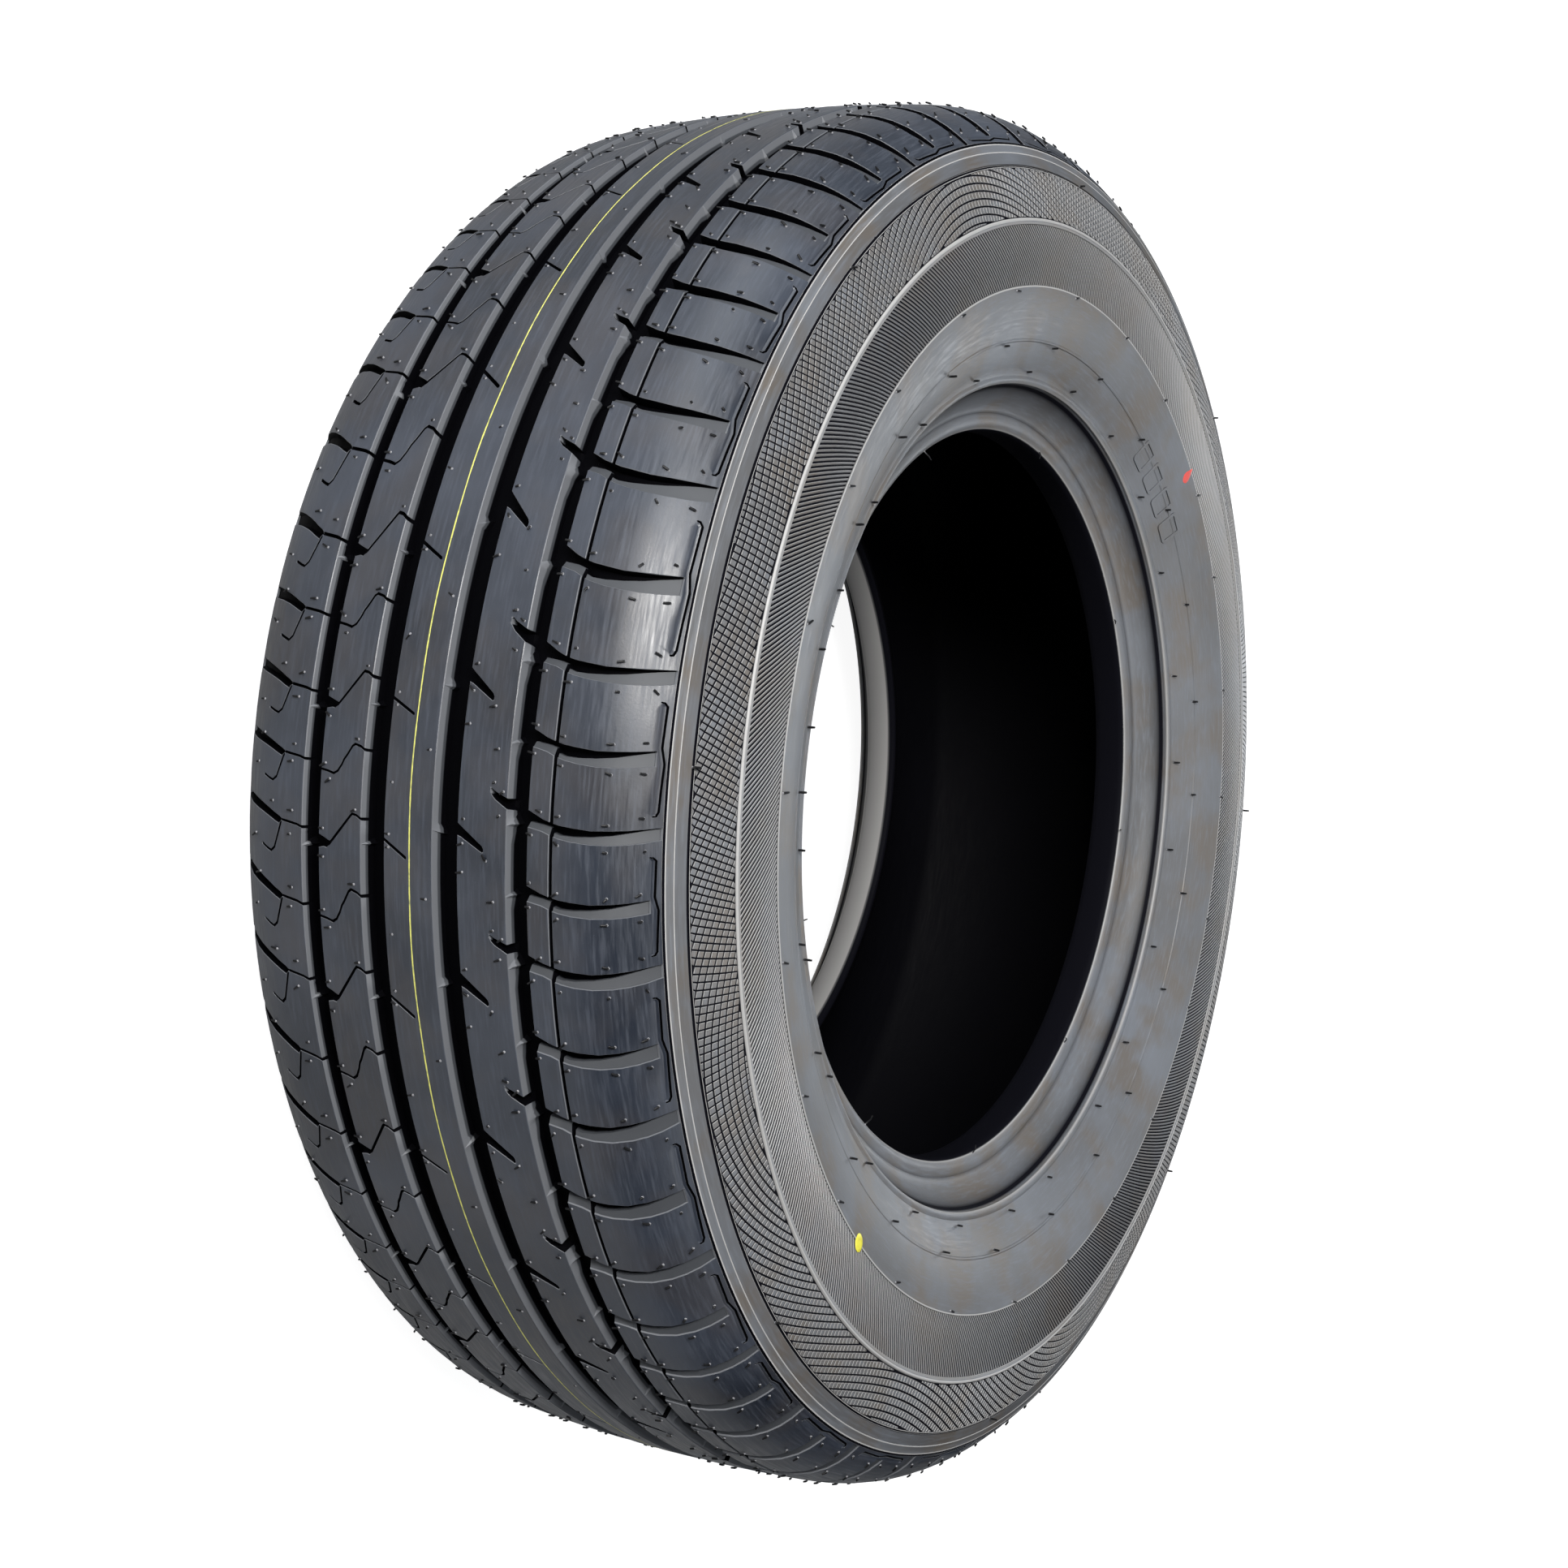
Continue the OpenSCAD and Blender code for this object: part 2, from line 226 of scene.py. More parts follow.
class MeshBuilder:
    """Gathers points in millimetres and faces, and turns them into one object in metres."""

    def __init__(self) -> None:
        """Starts an empty mesh."""
        self.points: list[np.ndarray] = []
        self.shade: list[np.ndarray] = []
        self.faces: list[list[int]] = []
        self.count = 0

    def add(self, points: np.ndarray, faces: np.ndarray, shade: np.ndarray | float = 0.0) -> int:
        """Adds points and the faces between them.

        Args:
            points: Points in millimetres, one row each.
            faces: Corner numbers within points, one face a row.
            shade: Painted light and shade at each point: the face at 0, then painted light on walls, painted shade
                on slopes and in depths as it grows, and a painted shadow below 0.

        Returns:
            Number of the first point added.
        """
        points = np.asarray(points, float).reshape(-1, 3)
        first = self.count
        self.points.append(points)
        self.shade.append(np.broadcast_to(np.asarray(shade, float), (len(points),)))
        self.count += len(points)
        self.add_faces(faces, first)
        return first

    def add_faces(self, faces: np.ndarray, first: int) -> None:
        """Adds faces whose corner numbers count from the point first."""
        self.faces.extend((np.asarray(faces, int) + first).tolist())

    def mirror(self) -> None:
        """Mirrors everything gathered so far to the other sidewall."""
        for points in self.points:
            points[:, 2] *= -1
        self.faces = [face[::-1] for face in self.faces]

    def build(self, name: str, material: bpy.types.Material, crease: float = 32.0,
              weld: float = 0.0) -> bpy.types.Object:
        """Makes the object.

        Args:
            name: Name of the object and its mesh.
            material: Its material.
            crease: Angle in degrees over which an edge stays sharp.
            weld: Distance in millimetres within which points become one.

        Returns:
            The object, riding on the tyre's body and standing for its node.
        """
        mesh = bpy.data.meshes.new(name)
        mesh.from_pydata((np.concatenate(self.points) * MM).tolist(), [], self.faces)
        attribute = mesh.attributes.new("shade", "FLOAT", "POINT")
        attribute.data.foreach_set("value", np.concatenate(self.shade).astype(np.float32))
        mesh.materials.append(material)
        if weld > 0:
            shell = bmesh.new()
            shell.from_mesh(mesh)
            bmesh.ops.remove_doubles(shell, verts=shell.verts, dist=weld * MM)
            shell.to_mesh(mesh)
            shell.free()
        mesh.shade_smooth()
        mesh.set_sharp_from_angle(angle=math.radians(crease))
        mesh.validate()
        piece = bpy.data.objects.new(name, mesh)
        bpy.context.scene.collection.objects.link(piece)
        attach(piece, BODY)
        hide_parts(NODE)
        return piece


def around(theta: np.ndarray, radius: np.ndarray, y: np.ndarray) -> np.ndarray:
    """Points in space from angle round the axis, radius and distance along the axis."""
    theta, radius, y = np.broadcast_arrays(theta, radius, y)
    return np.stack([radius * np.cos(theta), radius * np.sin(theta), y], axis=-1)


def revolve(builder: MeshBuilder, profile: np.ndarray, segments: int,
            shade: np.ndarray | float = 0.0) -> None:
    """Turns a profile once round the axis.

    Args:
        builder: Mesh that takes the surface.
        profile: Points (radius, y) in the order that faces the surface outwards.
        segments: Number of steps round the axis.
        shade: Painted light and shade of each profile point.
    """
    rows = len(profile)
    theta = np.arange(segments) * (2 * math.pi / segments)
    points = around(theta[:, None], profile[None, :, 0], profile[None, :, 1])
    here = np.arange(segments)[:, None] * rows + np.arange(rows - 1)[None, :]
    there = ((np.arange(segments) + 1) % segments)[:, None] * rows + np.arange(rows - 1)[None, :]
    quads = np.stack([here, there, there + 1, here + 1], axis=-1).reshape(-1, 4)
    tones = np.tile(np.broadcast_to(np.asarray(shade, float), (rows,)), segments)
    builder.add(points, quads, tones)


@dataclass(frozen=True)
class PitchSequence:
    """The uneven double pitches of the tread, in units that add up to one turn."""

    units: tuple[int, ...] = (7, 8, 10, 8, 7, 8, 9, 8, 7, 8, 8, 9, 10, 9, 8, 7, 7,
                              8, 9, 8, 7, 8, 10, 9, 8, 7, 8, 8, 9, 8, 7, 7, 7)
    turn_deg: float = 37.8
    drawn: float = 72.1

    def start(self, k: int) -> float:
        """Angle at which double pitch k starts, in radians."""
        return math.radians(self.turn_deg + 360.0 * sum(self.units[:k]) / sum(self.units))

    def stretch(self, k: int, radius: float) -> float:
        """How much longer double pitch k is than the drawn one."""
        unit = 2 * math.pi * radius / sum(self.units)
        return self.units[k % len(self.units)] * unit / self.drawn


@dataclass(frozen=True)
class RoundGroove:
    """A groove that runs round the tyre at one distance from the middle."""

    centre: float
    width: float
    taper: float
    depth: float
    lip: float = 0.35
    # Painted shade at the groove's foot: the higher it is, the less of the wall takes painted light
    foot_tone: float = 10.0
    reach: Point2 = (-60.0, 140.0)

    def lines(self) -> list[list[Point2]]:
        """Lines across the drawn pitch: both edges, both lips and both feet of the walls."""
        half = self.width / 2
        offsets = (half, half - self.lip, half - self.taper / 2)
        return [[(end, self.centre + sign * o) for end in self.reach] for o in offsets for sign in (-1, 1)]

    def depth_at(self, s: np.ndarray, y: np.ndarray) -> np.ndarray:
        """Depth of the groove at the points (s, y)."""
        half = self.width / 2
        away = np.abs(y - self.centre) + 0 * s
        return np.interp(away, [half - self.taper / 2, half - self.lip, half],
                         [self.depth, self.lip, 0.0])

    def shade_at(self, s: np.ndarray, y: np.ndarray) -> np.ndarray:
        """Painted light and shade at the points (s, y): painted light high on the walls, darker the deeper they lie.
        """
        return self.depth_at(s, y) * (self.foot_tone / self.depth)


@dataclass(frozen=True)
class CrossGroove:
    """A groove across the tread: a slot at its left painted black as shade, and a wall that slopes up to its right
    with a painted half shade.

    Lips and walls are as wide as their fields say, or take their share of a slot that has less room.
    """

    stations: tuple[float, ...]
    left: tuple[float, ...]
    right: tuple[float, ...]
    floor: tuple[float, ...]
    slot: tuple[float, ...] = ()
    step: tuple[float, ...] = ()
    foot: float = 0.9
    shift: float = 0.0
    lip: float = 0.3
    lip_share: float = 0.2
    wall: float = 0.9
    wall_share: float = 0.38
    step_wall: float = 0.4

    def columns(self) -> tuple[np.ndarray, np.ndarray, np.ndarray]:
        """Places, depths and painted shade of the lines along the groove, one row for each line."""
        left, right, floor = (np.array(v, float) for v in (self.left, self.right, self.floor))
        open_share = np.minimum(1.0, floor)
        slot = np.array(self.slot, float) if self.slot else right
        room = slot - left
        lip = np.minimum(self.lip, self.lip_share * room)
        wall = np.minimum(self.wall, self.wall_share * room)
        step_wall = np.minimum(self.step_wall, self.lip_share * room)
        places = [left, left + lip, left + wall]
        depths = [0 * floor, self.lip * open_share, floor]
        # Painted shade: black in the slot and on the short wall, a painted half shade on the slope beyond a slot
        shades = [0 * floor, PAINTED_DEEP_SHADE * open_share, PAINTED_DEEP_SHADE * open_share]
        if self.slot:
            step = np.array(self.step, float)
            places += [slot - step_wall, slot, right - self.lip, right]
            depths += [floor, step, self.foot * open_share, 0 * floor]
            shades += [PAINTED_DEEP_SHADE * open_share, PAINTED_HALF_SHADE * open_share, PAINTED_HALF_SHADE * open_share, 0 * floor]
        else:
            places += [right - wall, right - lip, right]
            depths += [floor, self.lip * open_share, 0 * floor]
            shades += [PAINTED_DEEP_SHADE * open_share, PAINTED_DEEP_SHADE * open_share, 0 * floor]
        return np.array(places) + self.shift, np.array(depths), np.array(shades)

    def lines(self) -> list[list[Point2]]:
        """Lines along the groove, and across it at both of its ends."""
        places, _, _ = self.columns()
        found = [list(zip(row.tolist(), self.stations)) for row in places]
        for i in (0, 1, -2, -1):
            found.append([(float(p), self.stations[i]) for p in places[:, i]])
        return found

    def depth_at(self, s: np.ndarray, y: np.ndarray) -> np.ndarray:
        """Depth of the groove at the points (s, y)."""
        places, depths, _ = self.columns()
        return self.between(places, depths, s, y)

    def shade_at(self, s: np.ndarray, y: np.ndarray) -> np.ndarray:
        """Painted shade at the points (s, y)."""
        places, _, shades = self.columns()
        return self.between(places, shades, s, y)

    def between(self, places: np.ndarray, values: np.ndarray, s: np.ndarray, y: np.ndarray) -> np.ndarray:
        """Reads a value between the lines along the groove.

        Args:
            places: Places of the lines, one row for each line.
            values: Values along the lines.
            s: Places along the pitch.
            y: Distances across it.

        Returns:
            The value at each point, and 0 outside the groove.
        """
        at = [np.interp(y, self.stations, row) for row in places]
        deep = [np.interp(y, self.stations, row) for row in values]
        found = np.zeros_like(s)
        for i in range(len(at) - 1):
            width = np.maximum(at[i + 1] - at[i], 1e-9)
            t = (s - at[i]) / width
            inside = (t >= -1e-6) & (t <= 1 + 1e-6)
            value = deep[i] + (deep[i + 1] - deep[i]) * np.clip(t, 0, 1)
            found = np.where(inside, np.maximum(found, value), found)
        within = (y >= self.stations[0] - 1e-6) & (y <= self.stations[-1] + 1e-6)
        return np.where(within, found, 0.0)


@dataclass(frozen=True)
class Slit:
    """A thin cut with a V section along a line of points."""

    points: tuple[Point2, ...]
    width: float
    depth: float
    # Painted shade down the middle of the cut
    tone: float = SLIT_SHADE
    sharpest: float = 0.8

    def trimmed(self) -> np.ndarray:
        """The line, shortened at both ends so that the cut runs out in a point."""
        line = np.array(self.points, float)
        for end, nxt in ((0, 1), (-1, -2)):
            way = line[nxt] - line[end]
            line[end] = line[end] + way / np.linalg.norm(way) * self.width / 2
        return line

    def lines(self) -> list[list[Point2]]:
        """The middle line and the outline."""
        line = self.trimmed()
        ways = np.diff(line, axis=0)
        ways /= np.linalg.norm(ways, axis=1)[:, None]
        normals = np.stack([-ways[:, 1], ways[:, 0]], axis=1)
        joint = np.vstack([normals[:1], normals[:-1] + normals[1:], normals[-1:]])
        size = np.maximum((joint * joint).sum(axis=1), self.sharpest)
        factor = np.where(np.arange(len(line)) % (len(line) - 1) == 0, 1.0, 2.0)
        offset = joint * (factor / size)[:, None] * self.width / 2
        first, last = tuple(self.points[0]), tuple(self.points[-1])
        outline = [first, *map(tuple, (line + offset).tolist()), last,
                   *map(tuple, (line - offset)[::-1].tolist()), first]
        return [[first, *map(tuple, line.tolist()), last], outline]

    def depth_at(self, s: np.ndarray, y: np.ndarray) -> np.ndarray:
        """Depth of the cut at the points (s, y)."""
        line = self.trimmed()
        nearest = np.full(s.shape, 1e9)
        for a, b in zip(line[:-1], line[1:]):
            way = b - a
            t = np.clip(((s - a[0]) * way[0] + (y - a[1]) * way[1]) / (way @ way), 0, 1)
            nearest = np.minimum(nearest, np.hypot(s - a[0] - t * way[0], y - a[1] - t * way[1]))
        return self.depth * np.clip(1 - nearest / (self.width / 2), 0, 1)

    def shade_at(self, s: np.ndarray, y: np.ndarray) -> np.ndarray:
        """Painted shade at the points (s, y), darkest along the middle of the cut."""
        return self.depth_at(s, y) * (self.tone / self.depth)


@dataclass(frozen=True)
class GrooveTooth:
    """A barb of rubber that stands out from the far wall of a round groove."""

    s: float
    wall_y: float
    reach: float
    rise: float
    run: float = 2.6
    depth: float = 8.0

    def lines(self) -> list[list[Point2]]:
        """The ridge and both feet of the tooth."""
        tip = (self.s, self.wall_y + self.reach)
        root = (self.s, self.wall_y)
        left, right = (self.s - self.rise, self.wall_y), (self.s + self.run, self.wall_y)
        return [[root, tip], [left, tip], [right, tip]]

    def cap_at(self, s: np.ndarray, y: np.ndarray) -> np.ndarray:
        """Greatest depth that the tooth leaves at the points (s, y)."""
        out = (y - self.wall_y) / self.reach
        beside = np.where(s < self.s, (self.s - s) / self.rise, (s - self.s) / self.run)
        cap = self.depth * (out + beside)
        return np.where((out > 0) & (cap < self.depth), cap, 1e3)


@dataclass
class TreadPattern:
    """One double pitch of the tread, drawn flat: s runs round the tyre and y across it."""

    section: Section
    pitches: PitchSequence = field(default_factory=PitchSequence)
    columns: int = 8
    clear_of_slants: float = 0.5
    clear_of_lines: float = 0.7

    # How far after the start of its double pitch the pattern is anchored, at each distance y
    anchor_y: tuple[float, ...] = (-64.6, -53.0, -27.9, -13.3, 13.3, 18.0, 42.0, 44.3)
    anchor_s: tuple[float, ...] = (0.0, 3.0, 3.0, 1.0, 1.0, 26.0, 26.0, 50.0)
    # The seam between two double pitches runs where it meets no cross groove
    seam_y: tuple[float, ...] = (-104.0, -94.0, -60.0, -52.0, 21.0, 28.0, 61.0)
    seam_s: tuple[float, ...] = (-26.0, -19.0, -18.0, -17.0, -17.0, 8.0, 32.0)

    def __post_init__(self) -> None:
        """Draws the pitch once: grooves, cuts, teeth, triangles and depths."""
        self.half_pitch = self.pitches.drawn / 2
        self.cuts = [*self.round_grooves(), *self.outer_shoulder(), *self.outer_rib(), *self.inner_ribs(),
                     *self.inner_shoulder()]
        self.teeth = self.groove_teeth()
        self.corners, self.triangles = self.triangulate()
        self.depths, self.shades = self.relief(self.corners[:, 0], self.corners[:, 1])

    def round_grooves(self) -> list[RoundGroove]:
        """The four grooves round the tyre and the narrow one in the outer shoulder."""
        return [
            RoundGroove(-58.8, 11.6, 3.0, 8.0, foot_tone=16.0),
            RoundGroove(-20.6, 14.6, 3.0, 8.0, foot_tone=12.0),
            RoundGroove(20.6, 14.6, 3.0, 8.0),
            RoundGroove(58.8, 11.6, 3.0, 8.0),
            RoundGroove(76.1, 2.3, 1.4, 2.6, lip=0.2, foot_tone=NARROW_CUT_SHADE),
        ]

    def outer_shoulder(self) -> list[CrossGroove | Slit]:
        """A long and a short cross groove, and the long shallow slot past the short one."""
        stations = (61.0, 64.5, 71.3, 74.9, 77.2, 80.0, 86.0, 94.0, 102.0, 108.0, 113.0, 117.9, 118.5)
        left = (-6.6, -5.0, -1.8, -0.6, 0.0, 0.7, 1.5, 2.3, 1.9, 1.3, 0.5, -0.4, -0.5)
        slot = (0.0, 0.5, 1.4, 2.4, 5.0, 5.9, 6.2, 5.8, 4.7, 3.1, 1.6, 0.1, 0.0)
        right = (2.4, 3.1, 4.6, 6.1, 6.9, 7.7, 8.8, 9.6, 9.5, 8.9, 7.9, 6.2, 6.0)
        floor = (6.6, 6.6, 6.6, 6.6, 6.4, 6.2, 5.8, 5.2, 4.4, 3.4, 2.4, 1.6, 0.0)
        step = (2.8, 2.8, 2.6, 2.4, 1.6, 1.6, 2.0, 2.2, 2.0, 1.8, 1.5, 1.3, 0.0)
        ends = (*stations[:-2], 114.9, 115.5)
        cut_off = slice(0, -2)
        long_one = CrossGroove(stations, left, right, floor, slot, step, shift=50.0)
        short_one = CrossGroove(
            ends, (*left[cut_off], 0.1, 0.0), (*right[cut_off], 7.4, 7.3), (*floor[cut_off], 2.0, 0.0),
            (*slot[cut_off], 0.9, 0.8), (*step[cut_off], 1.4, 0.0), shift=87.0)
        slot_line = ((65.4, 115.3), (67.0, 115.7), (85.5, 115.4), (92.8, 116.5), (114.6, 115.7), (116.4, 115.2))
        outer_line = ((65.0, 114.6), (65.1, 115.9), (66.6, 116.9), (85.5, 116.6), (92.8, 117.7), (114.6, 117.0),
                      (116.5, 116.3), (116.9, 115.0))
        return [long_one, short_one, Slit(slot_line, 1.5, 0.6, 0.0), Slit(outer_line, 0.85, 0.9)]

    def outer_rib(self) -> list[CrossGroove]:
        """The hooked notch in line with the long cross groove, and the slanted one."""
        hook = CrossGroove((44.0, 45.2, 47.0, 50.0, 53.0, 56.0), (36.2, 37.0, 38.2, 39.5, 40.8, 42.0),
                           (38.6, 40.4, 42.2, 44.0, 45.8, 47.6), (0.0, 5.0, 6.0, 6.2, 6.4, 6.6))
        slant = CrossGroove((26.4, 28.0, 29.5, 35.0, 40.8, 41.7), (56.4, 57.5, 58.8, 63.2, 67.9, 69.0),
                            (63.4, 64.0, 64.6, 68.0, 71.6, 71.8), (6.6, 6.6, 6.6, 6.4, 6.0, 0.0))
        return [hook, slant]

    def inner_ribs(self) -> list[CrossGroove | Slit]:
        """The short notch and the long thin cuts of the inner rib, and the cut in the middle rib."""
        notch = CrossGroove((-54.6, -53.0, -50.0, -48.2, -45.9, -45.4), (1.2, 2.0, 3.2, 4.0, 5.0, 5.2),
                            (8.9, 8.5, 7.9, 8.3, 5.9, 5.4), (6.0, 6.0, 5.6, 5.2, 4.2, 0.0))
        led_off = Slit(((6.6, -46.9), (-9.1, -34.0), (-10.1, -33.0), (-9.6, -30.5), (-7.6, -27.0),
                        (-7.1, -24.5)), 1.5, 3.0)
        stepped = Slit(((40.0, -54.4), (41.0, -49.0), (42.0, -45.5), (40.5, -43.0), (37.0, -40.8),
                        (34.0, -39.5), (32.0, -38.0), (27.0, -35.0), (26.0, -33.5), (27.0, -30.0),
                        (29.5, -26.0)), 1.4, 3.0)
        middle = Slit(((0.6, -14.6), (9.0, -0.4)), 1.7, 3.0)
        return [notch, led_off, stepped, middle]

    def inner_shoulder(self) -> list[CrossGroove | Slit]:
        """Two wedges to the double pitch, each with the thin cuts that lead to its point."""
        stations = (-118.5, -117.8, -112.0, -104.0, -97.0, -90.0, -86.0, -83.0, -79.5, -77.6)
        left = (-18.6, -18.4, -17.0, -14.5, -12.3, -9.6, -7.8, -6.2, -4.6, -3.6)
        right = (-12.2, -12.0, -10.8, -8.6, -6.8, -4.6, -3.0, -1.6, -0.2, -2.4)
        floor = (0.0, 1.5, 2.6, 3.8, 4.8, 5.4, 5.6, 5.6, 4.5, 0.0)
        found: list[CrossGroove | Slit] = []
        for base in (0.0, self.half_pitch):
            found.append(CrossGroove(stations, left, right, floor, shift=base))
            lead = ((0.6, -62.6), (-1.0, -68.0), (-2.6, -77.9))
            hook = ((-2.0, -77.8), (11.0, -82.5), (13.0, -85.0), (12.0, -88.0), (10.0, -92.5))
            for points, width, depth in ((lead, 1.5, 3.0), (hook, 1.4, 2.5)):
                found.append(Slit(tuple((s + base, y) for s, y in points), width, depth))
        return found

    def groove_teeth(self) -> list[GrooveTooth]:
        """The teeth that stand out from the far walls, opposite the cuts of the next rib."""
        return [
            GrooveTooth(52.6, 53.0, 4.8, 8.6, 3.4),
            GrooveTooth(88.6, 53.0, 4.0, 4.4, 3.0),
            GrooveTooth(66.0, 13.3, 3.8, 5.2, 3.6),
            GrooveTooth(4.9, -27.9, 3.6, 4.4),
            GrooveTooth(8.2, -64.6, 4.0, 5.6),
        ]

    def seam(self, y: np.ndarray) -> np.ndarray:
        """Place of the seam between double pitches at y."""
        return np.interp(y, self.seam_y, self.seam_s)

    def copies(self) -> tuple[float, float, float]:
        """How far the neighbouring pitches lie from this one."""
        return (-self.pitches.drawn, 0.0, self.pitches.drawn)

    def relief(self, s: np.ndarray, y: np.ndarray) -> tuple[np.ndarray, np.ndarray]:
        """Depth and painted shade of the pattern at the points (s, y), neighbouring pitches included."""
        depth, shade = np.zeros_like(s), np.zeros_like(s)
        cap = np.full_like(s, 1e3)
        for shift in self.copies():
            for cut in self.cuts:
                depth = np.maximum(depth, cut.depth_at(s - shift, y))
                shade = np.maximum(shade, cut.shade_at(s - shift, y))
            for tooth in self.teeth:
                cap = np.minimum(cap, tooth.cap_at(s - shift, y))
        # A tooth caps the painted shade as it caps the depth, so that it takes the painted light of a wall
        return np.minimum(depth, cap), np.minimum(shade, cap)

    def rows(self) -> np.ndarray:
        """Distances y at which the tread face gets its own points."""
        shoulder = self.section.edge_y - np.array([0.0, 2.2, 5.5, 9.5, 14.0, 19.0, 24.5, 30.5, 36.5, 45.5, 50.0])
        ribs = np.array([48.0, 40.0, 32.0, 24.0, 17.0, 9.0, 2.0])
        return np.sort(np.concatenate([-shoulder, -ribs, ribs, shoulder]))

    def triangulate(self) -> tuple[np.ndarray, np.ndarray]:
        """Divides one double pitch into triangles that keep every line of the pattern.

        Returns:
            The corners (s, y) and the triangles, as corner numbers.
        """
        low = float(min(self.seam_s)) - 1.0
        high = float(max(self.seam_s)) + self.pitches.drawn + 1.0
        edge_y = self.section.edge_y
        points: list[Point2] = []
        edges: list[tuple[int, int]] = []

        def lay(line: Sequence[Point2]) -> None:
            """Adds one line of points, piece by piece."""
            for a, b in zip(line[:-1], line[1:]):
                if max(a[0], b[0]) < low or min(a[0], b[0]) > high or math.dist(a, b) < 1e-7:
                    continue
                edges.append((len(points), len(points) + 1))
                points.extend([a, b])

        for shift in self.copies():
            for shape in [*self.cuts, *self.teeth]:
                if isinstance(shape, RoundGroove) and shift:
                    continue
                for line in shape.lines():
                    lay([(s + shift, y) for s, y in line])
        rows = self.rows()
        seam_rows = np.unique(np.concatenate([rows, [y for y in self.seam_y if abs(y) < edge_y]]))
        for shift in (0.0, self.pitches.drawn):
            lay([(float(self.seam(y)) + shift, float(y)) for y in seam_rows])
        for y in (-edge_y, edge_y):
            lay([(low - 1, y), (high + 1, y)])

        starts = np.array([points[a] for a, _ in edges])
        ends = np.array([points[b] for _, b in edges])
        free = self.free_points(rows, starts, ends)
        points.extend(free)
        found = delaunay_2d_cdt([Vector(p) for p in points], edges, [], 0, 1e-5)
        corners = np.array([tuple(v) for v in found[0]])
        triangles = np.array([tuple(f) for f in found[2]], int)
        middle = corners[triangles].mean(axis=1)
        along = middle[:, 0] - self.seam(middle[:, 1])
        inside = (along > 0) & (along < self.pitches.drawn) & (np.abs(middle[:, 1]) < edge_y)
        triangles = triangles[inside]
        a, b, c = (corners[triangles[:, i]] for i in range(3))
        area = (b[:, 0] - a[:, 0]) * (c[:, 1] - a[:, 1]) - (b[:, 1] - a[:, 1]) * (c[:, 0] - a[:, 0])
        triangles = np.where(area[:, None] < 0, triangles[:, ::-1], triangles)[np.abs(area) > 1e-7]
        used, numbers = np.unique(triangles, return_inverse=True)
        return corners[used], numbers.reshape(-1, 3)

    def free_points(self, rows: np.ndarray, starts: np.ndarray, ends: np.ndarray) -> list[Point2]:
        """Points inside the blocks and on the grooves, clear of every line that slants.

        Args:
            rows: Distances y of the rows of points.
            starts: First ends of all lines.
            ends: Second ends of all lines.

        Returns:
            The points (s, y).
        """
        level = [line[0][1] for groove in self.round_grooves() for line in groove.lines()]
        steps = np.arange(1, self.columns) * (self.pitches.drawn / self.columns)
        ys = np.concatenate([rows, level])
        s = self.seam(ys)[:, None] + steps[None, :]
        grid = np.stack([s, np.broadcast_to(ys[:, None], s.shape)], axis=-1).reshape(-1, 2)
        slanted = np.abs(starts[:, 1] - ends[:, 1]) > 1e-6
        on_level = np.isin(grid[:, 1], level)
        a, way = starts[None], (ends - starts)[None]
        t = np.clip(((grid[:, None] - a) * way).sum(-1) / (way * way).sum(-1), 0, 1)
        gap = np.linalg.norm(grid[:, None] - a - t[..., None] * way, axis=-1)
        gap_slanted = np.where(slanted[None], gap, 1e3).min(axis=1)
        keep = np.where(on_level, gap_slanted > self.clear_of_slants, gap.min(axis=1) > self.clear_of_lines)
        edge_rows = np.abs(np.abs(grid[:, 1]) - self.section.edge_y) < 1e-6
        keep |= edge_rows & (gap_slanted > self.clear_of_slants)
        return [tuple(p) for p in grid[keep].tolist()]

    def place(self, s: np.ndarray, y: np.ndarray, depth: np.ndarray, k: int) -> np.ndarray:
        """Lays points of the drawn pitch on the tyre.

        Args:
            s: Places along the drawn pitch.
            y: Distances across it.
            depth: Depths under the tread face.
            k: Number of the double pitch.

        Returns:
            Points in space, in millimetres.
        """
        radius = self.section.top_r
        anchor = np.interp(y, self.anchor_y, self.anchor_s)
        stretch = np.where(s >= anchor, self.pitches.stretch(k, radius), self.pitches.stretch(k - 1, radius))
        theta = self.pitches.start(k) + (anchor + stretch * (s - anchor)) / radius
        section = self.section.tread_point(y, depth)
        return around(theta, section[..., 0], section[..., 1])


@dataclass
class Tread:
    """The tread: one drawn double pitch laid round the tyre in its uneven lengths."""

    pattern: TreadPattern
    weld: float = 0.004

    def build(self, rubber: bpy.types.Material) -> bpy.types.Object:
        """Builds the tread.

        Args:
            rubber: Material of the tread.

        Returns:
            The tread as one object.
        """
        builder = MeshBuilder()
        corners, depths = self.pattern.corners, self.pattern.depths
        for k in range(len(self.pattern.pitches.units)):
            points = self.pattern.place(corners[:, 0], corners[:, 1], depths, k)
            builder.add(points, self.pattern.triangles, self.pattern.shades)
        return builder.build("tread", rubber, weld=self.weld)


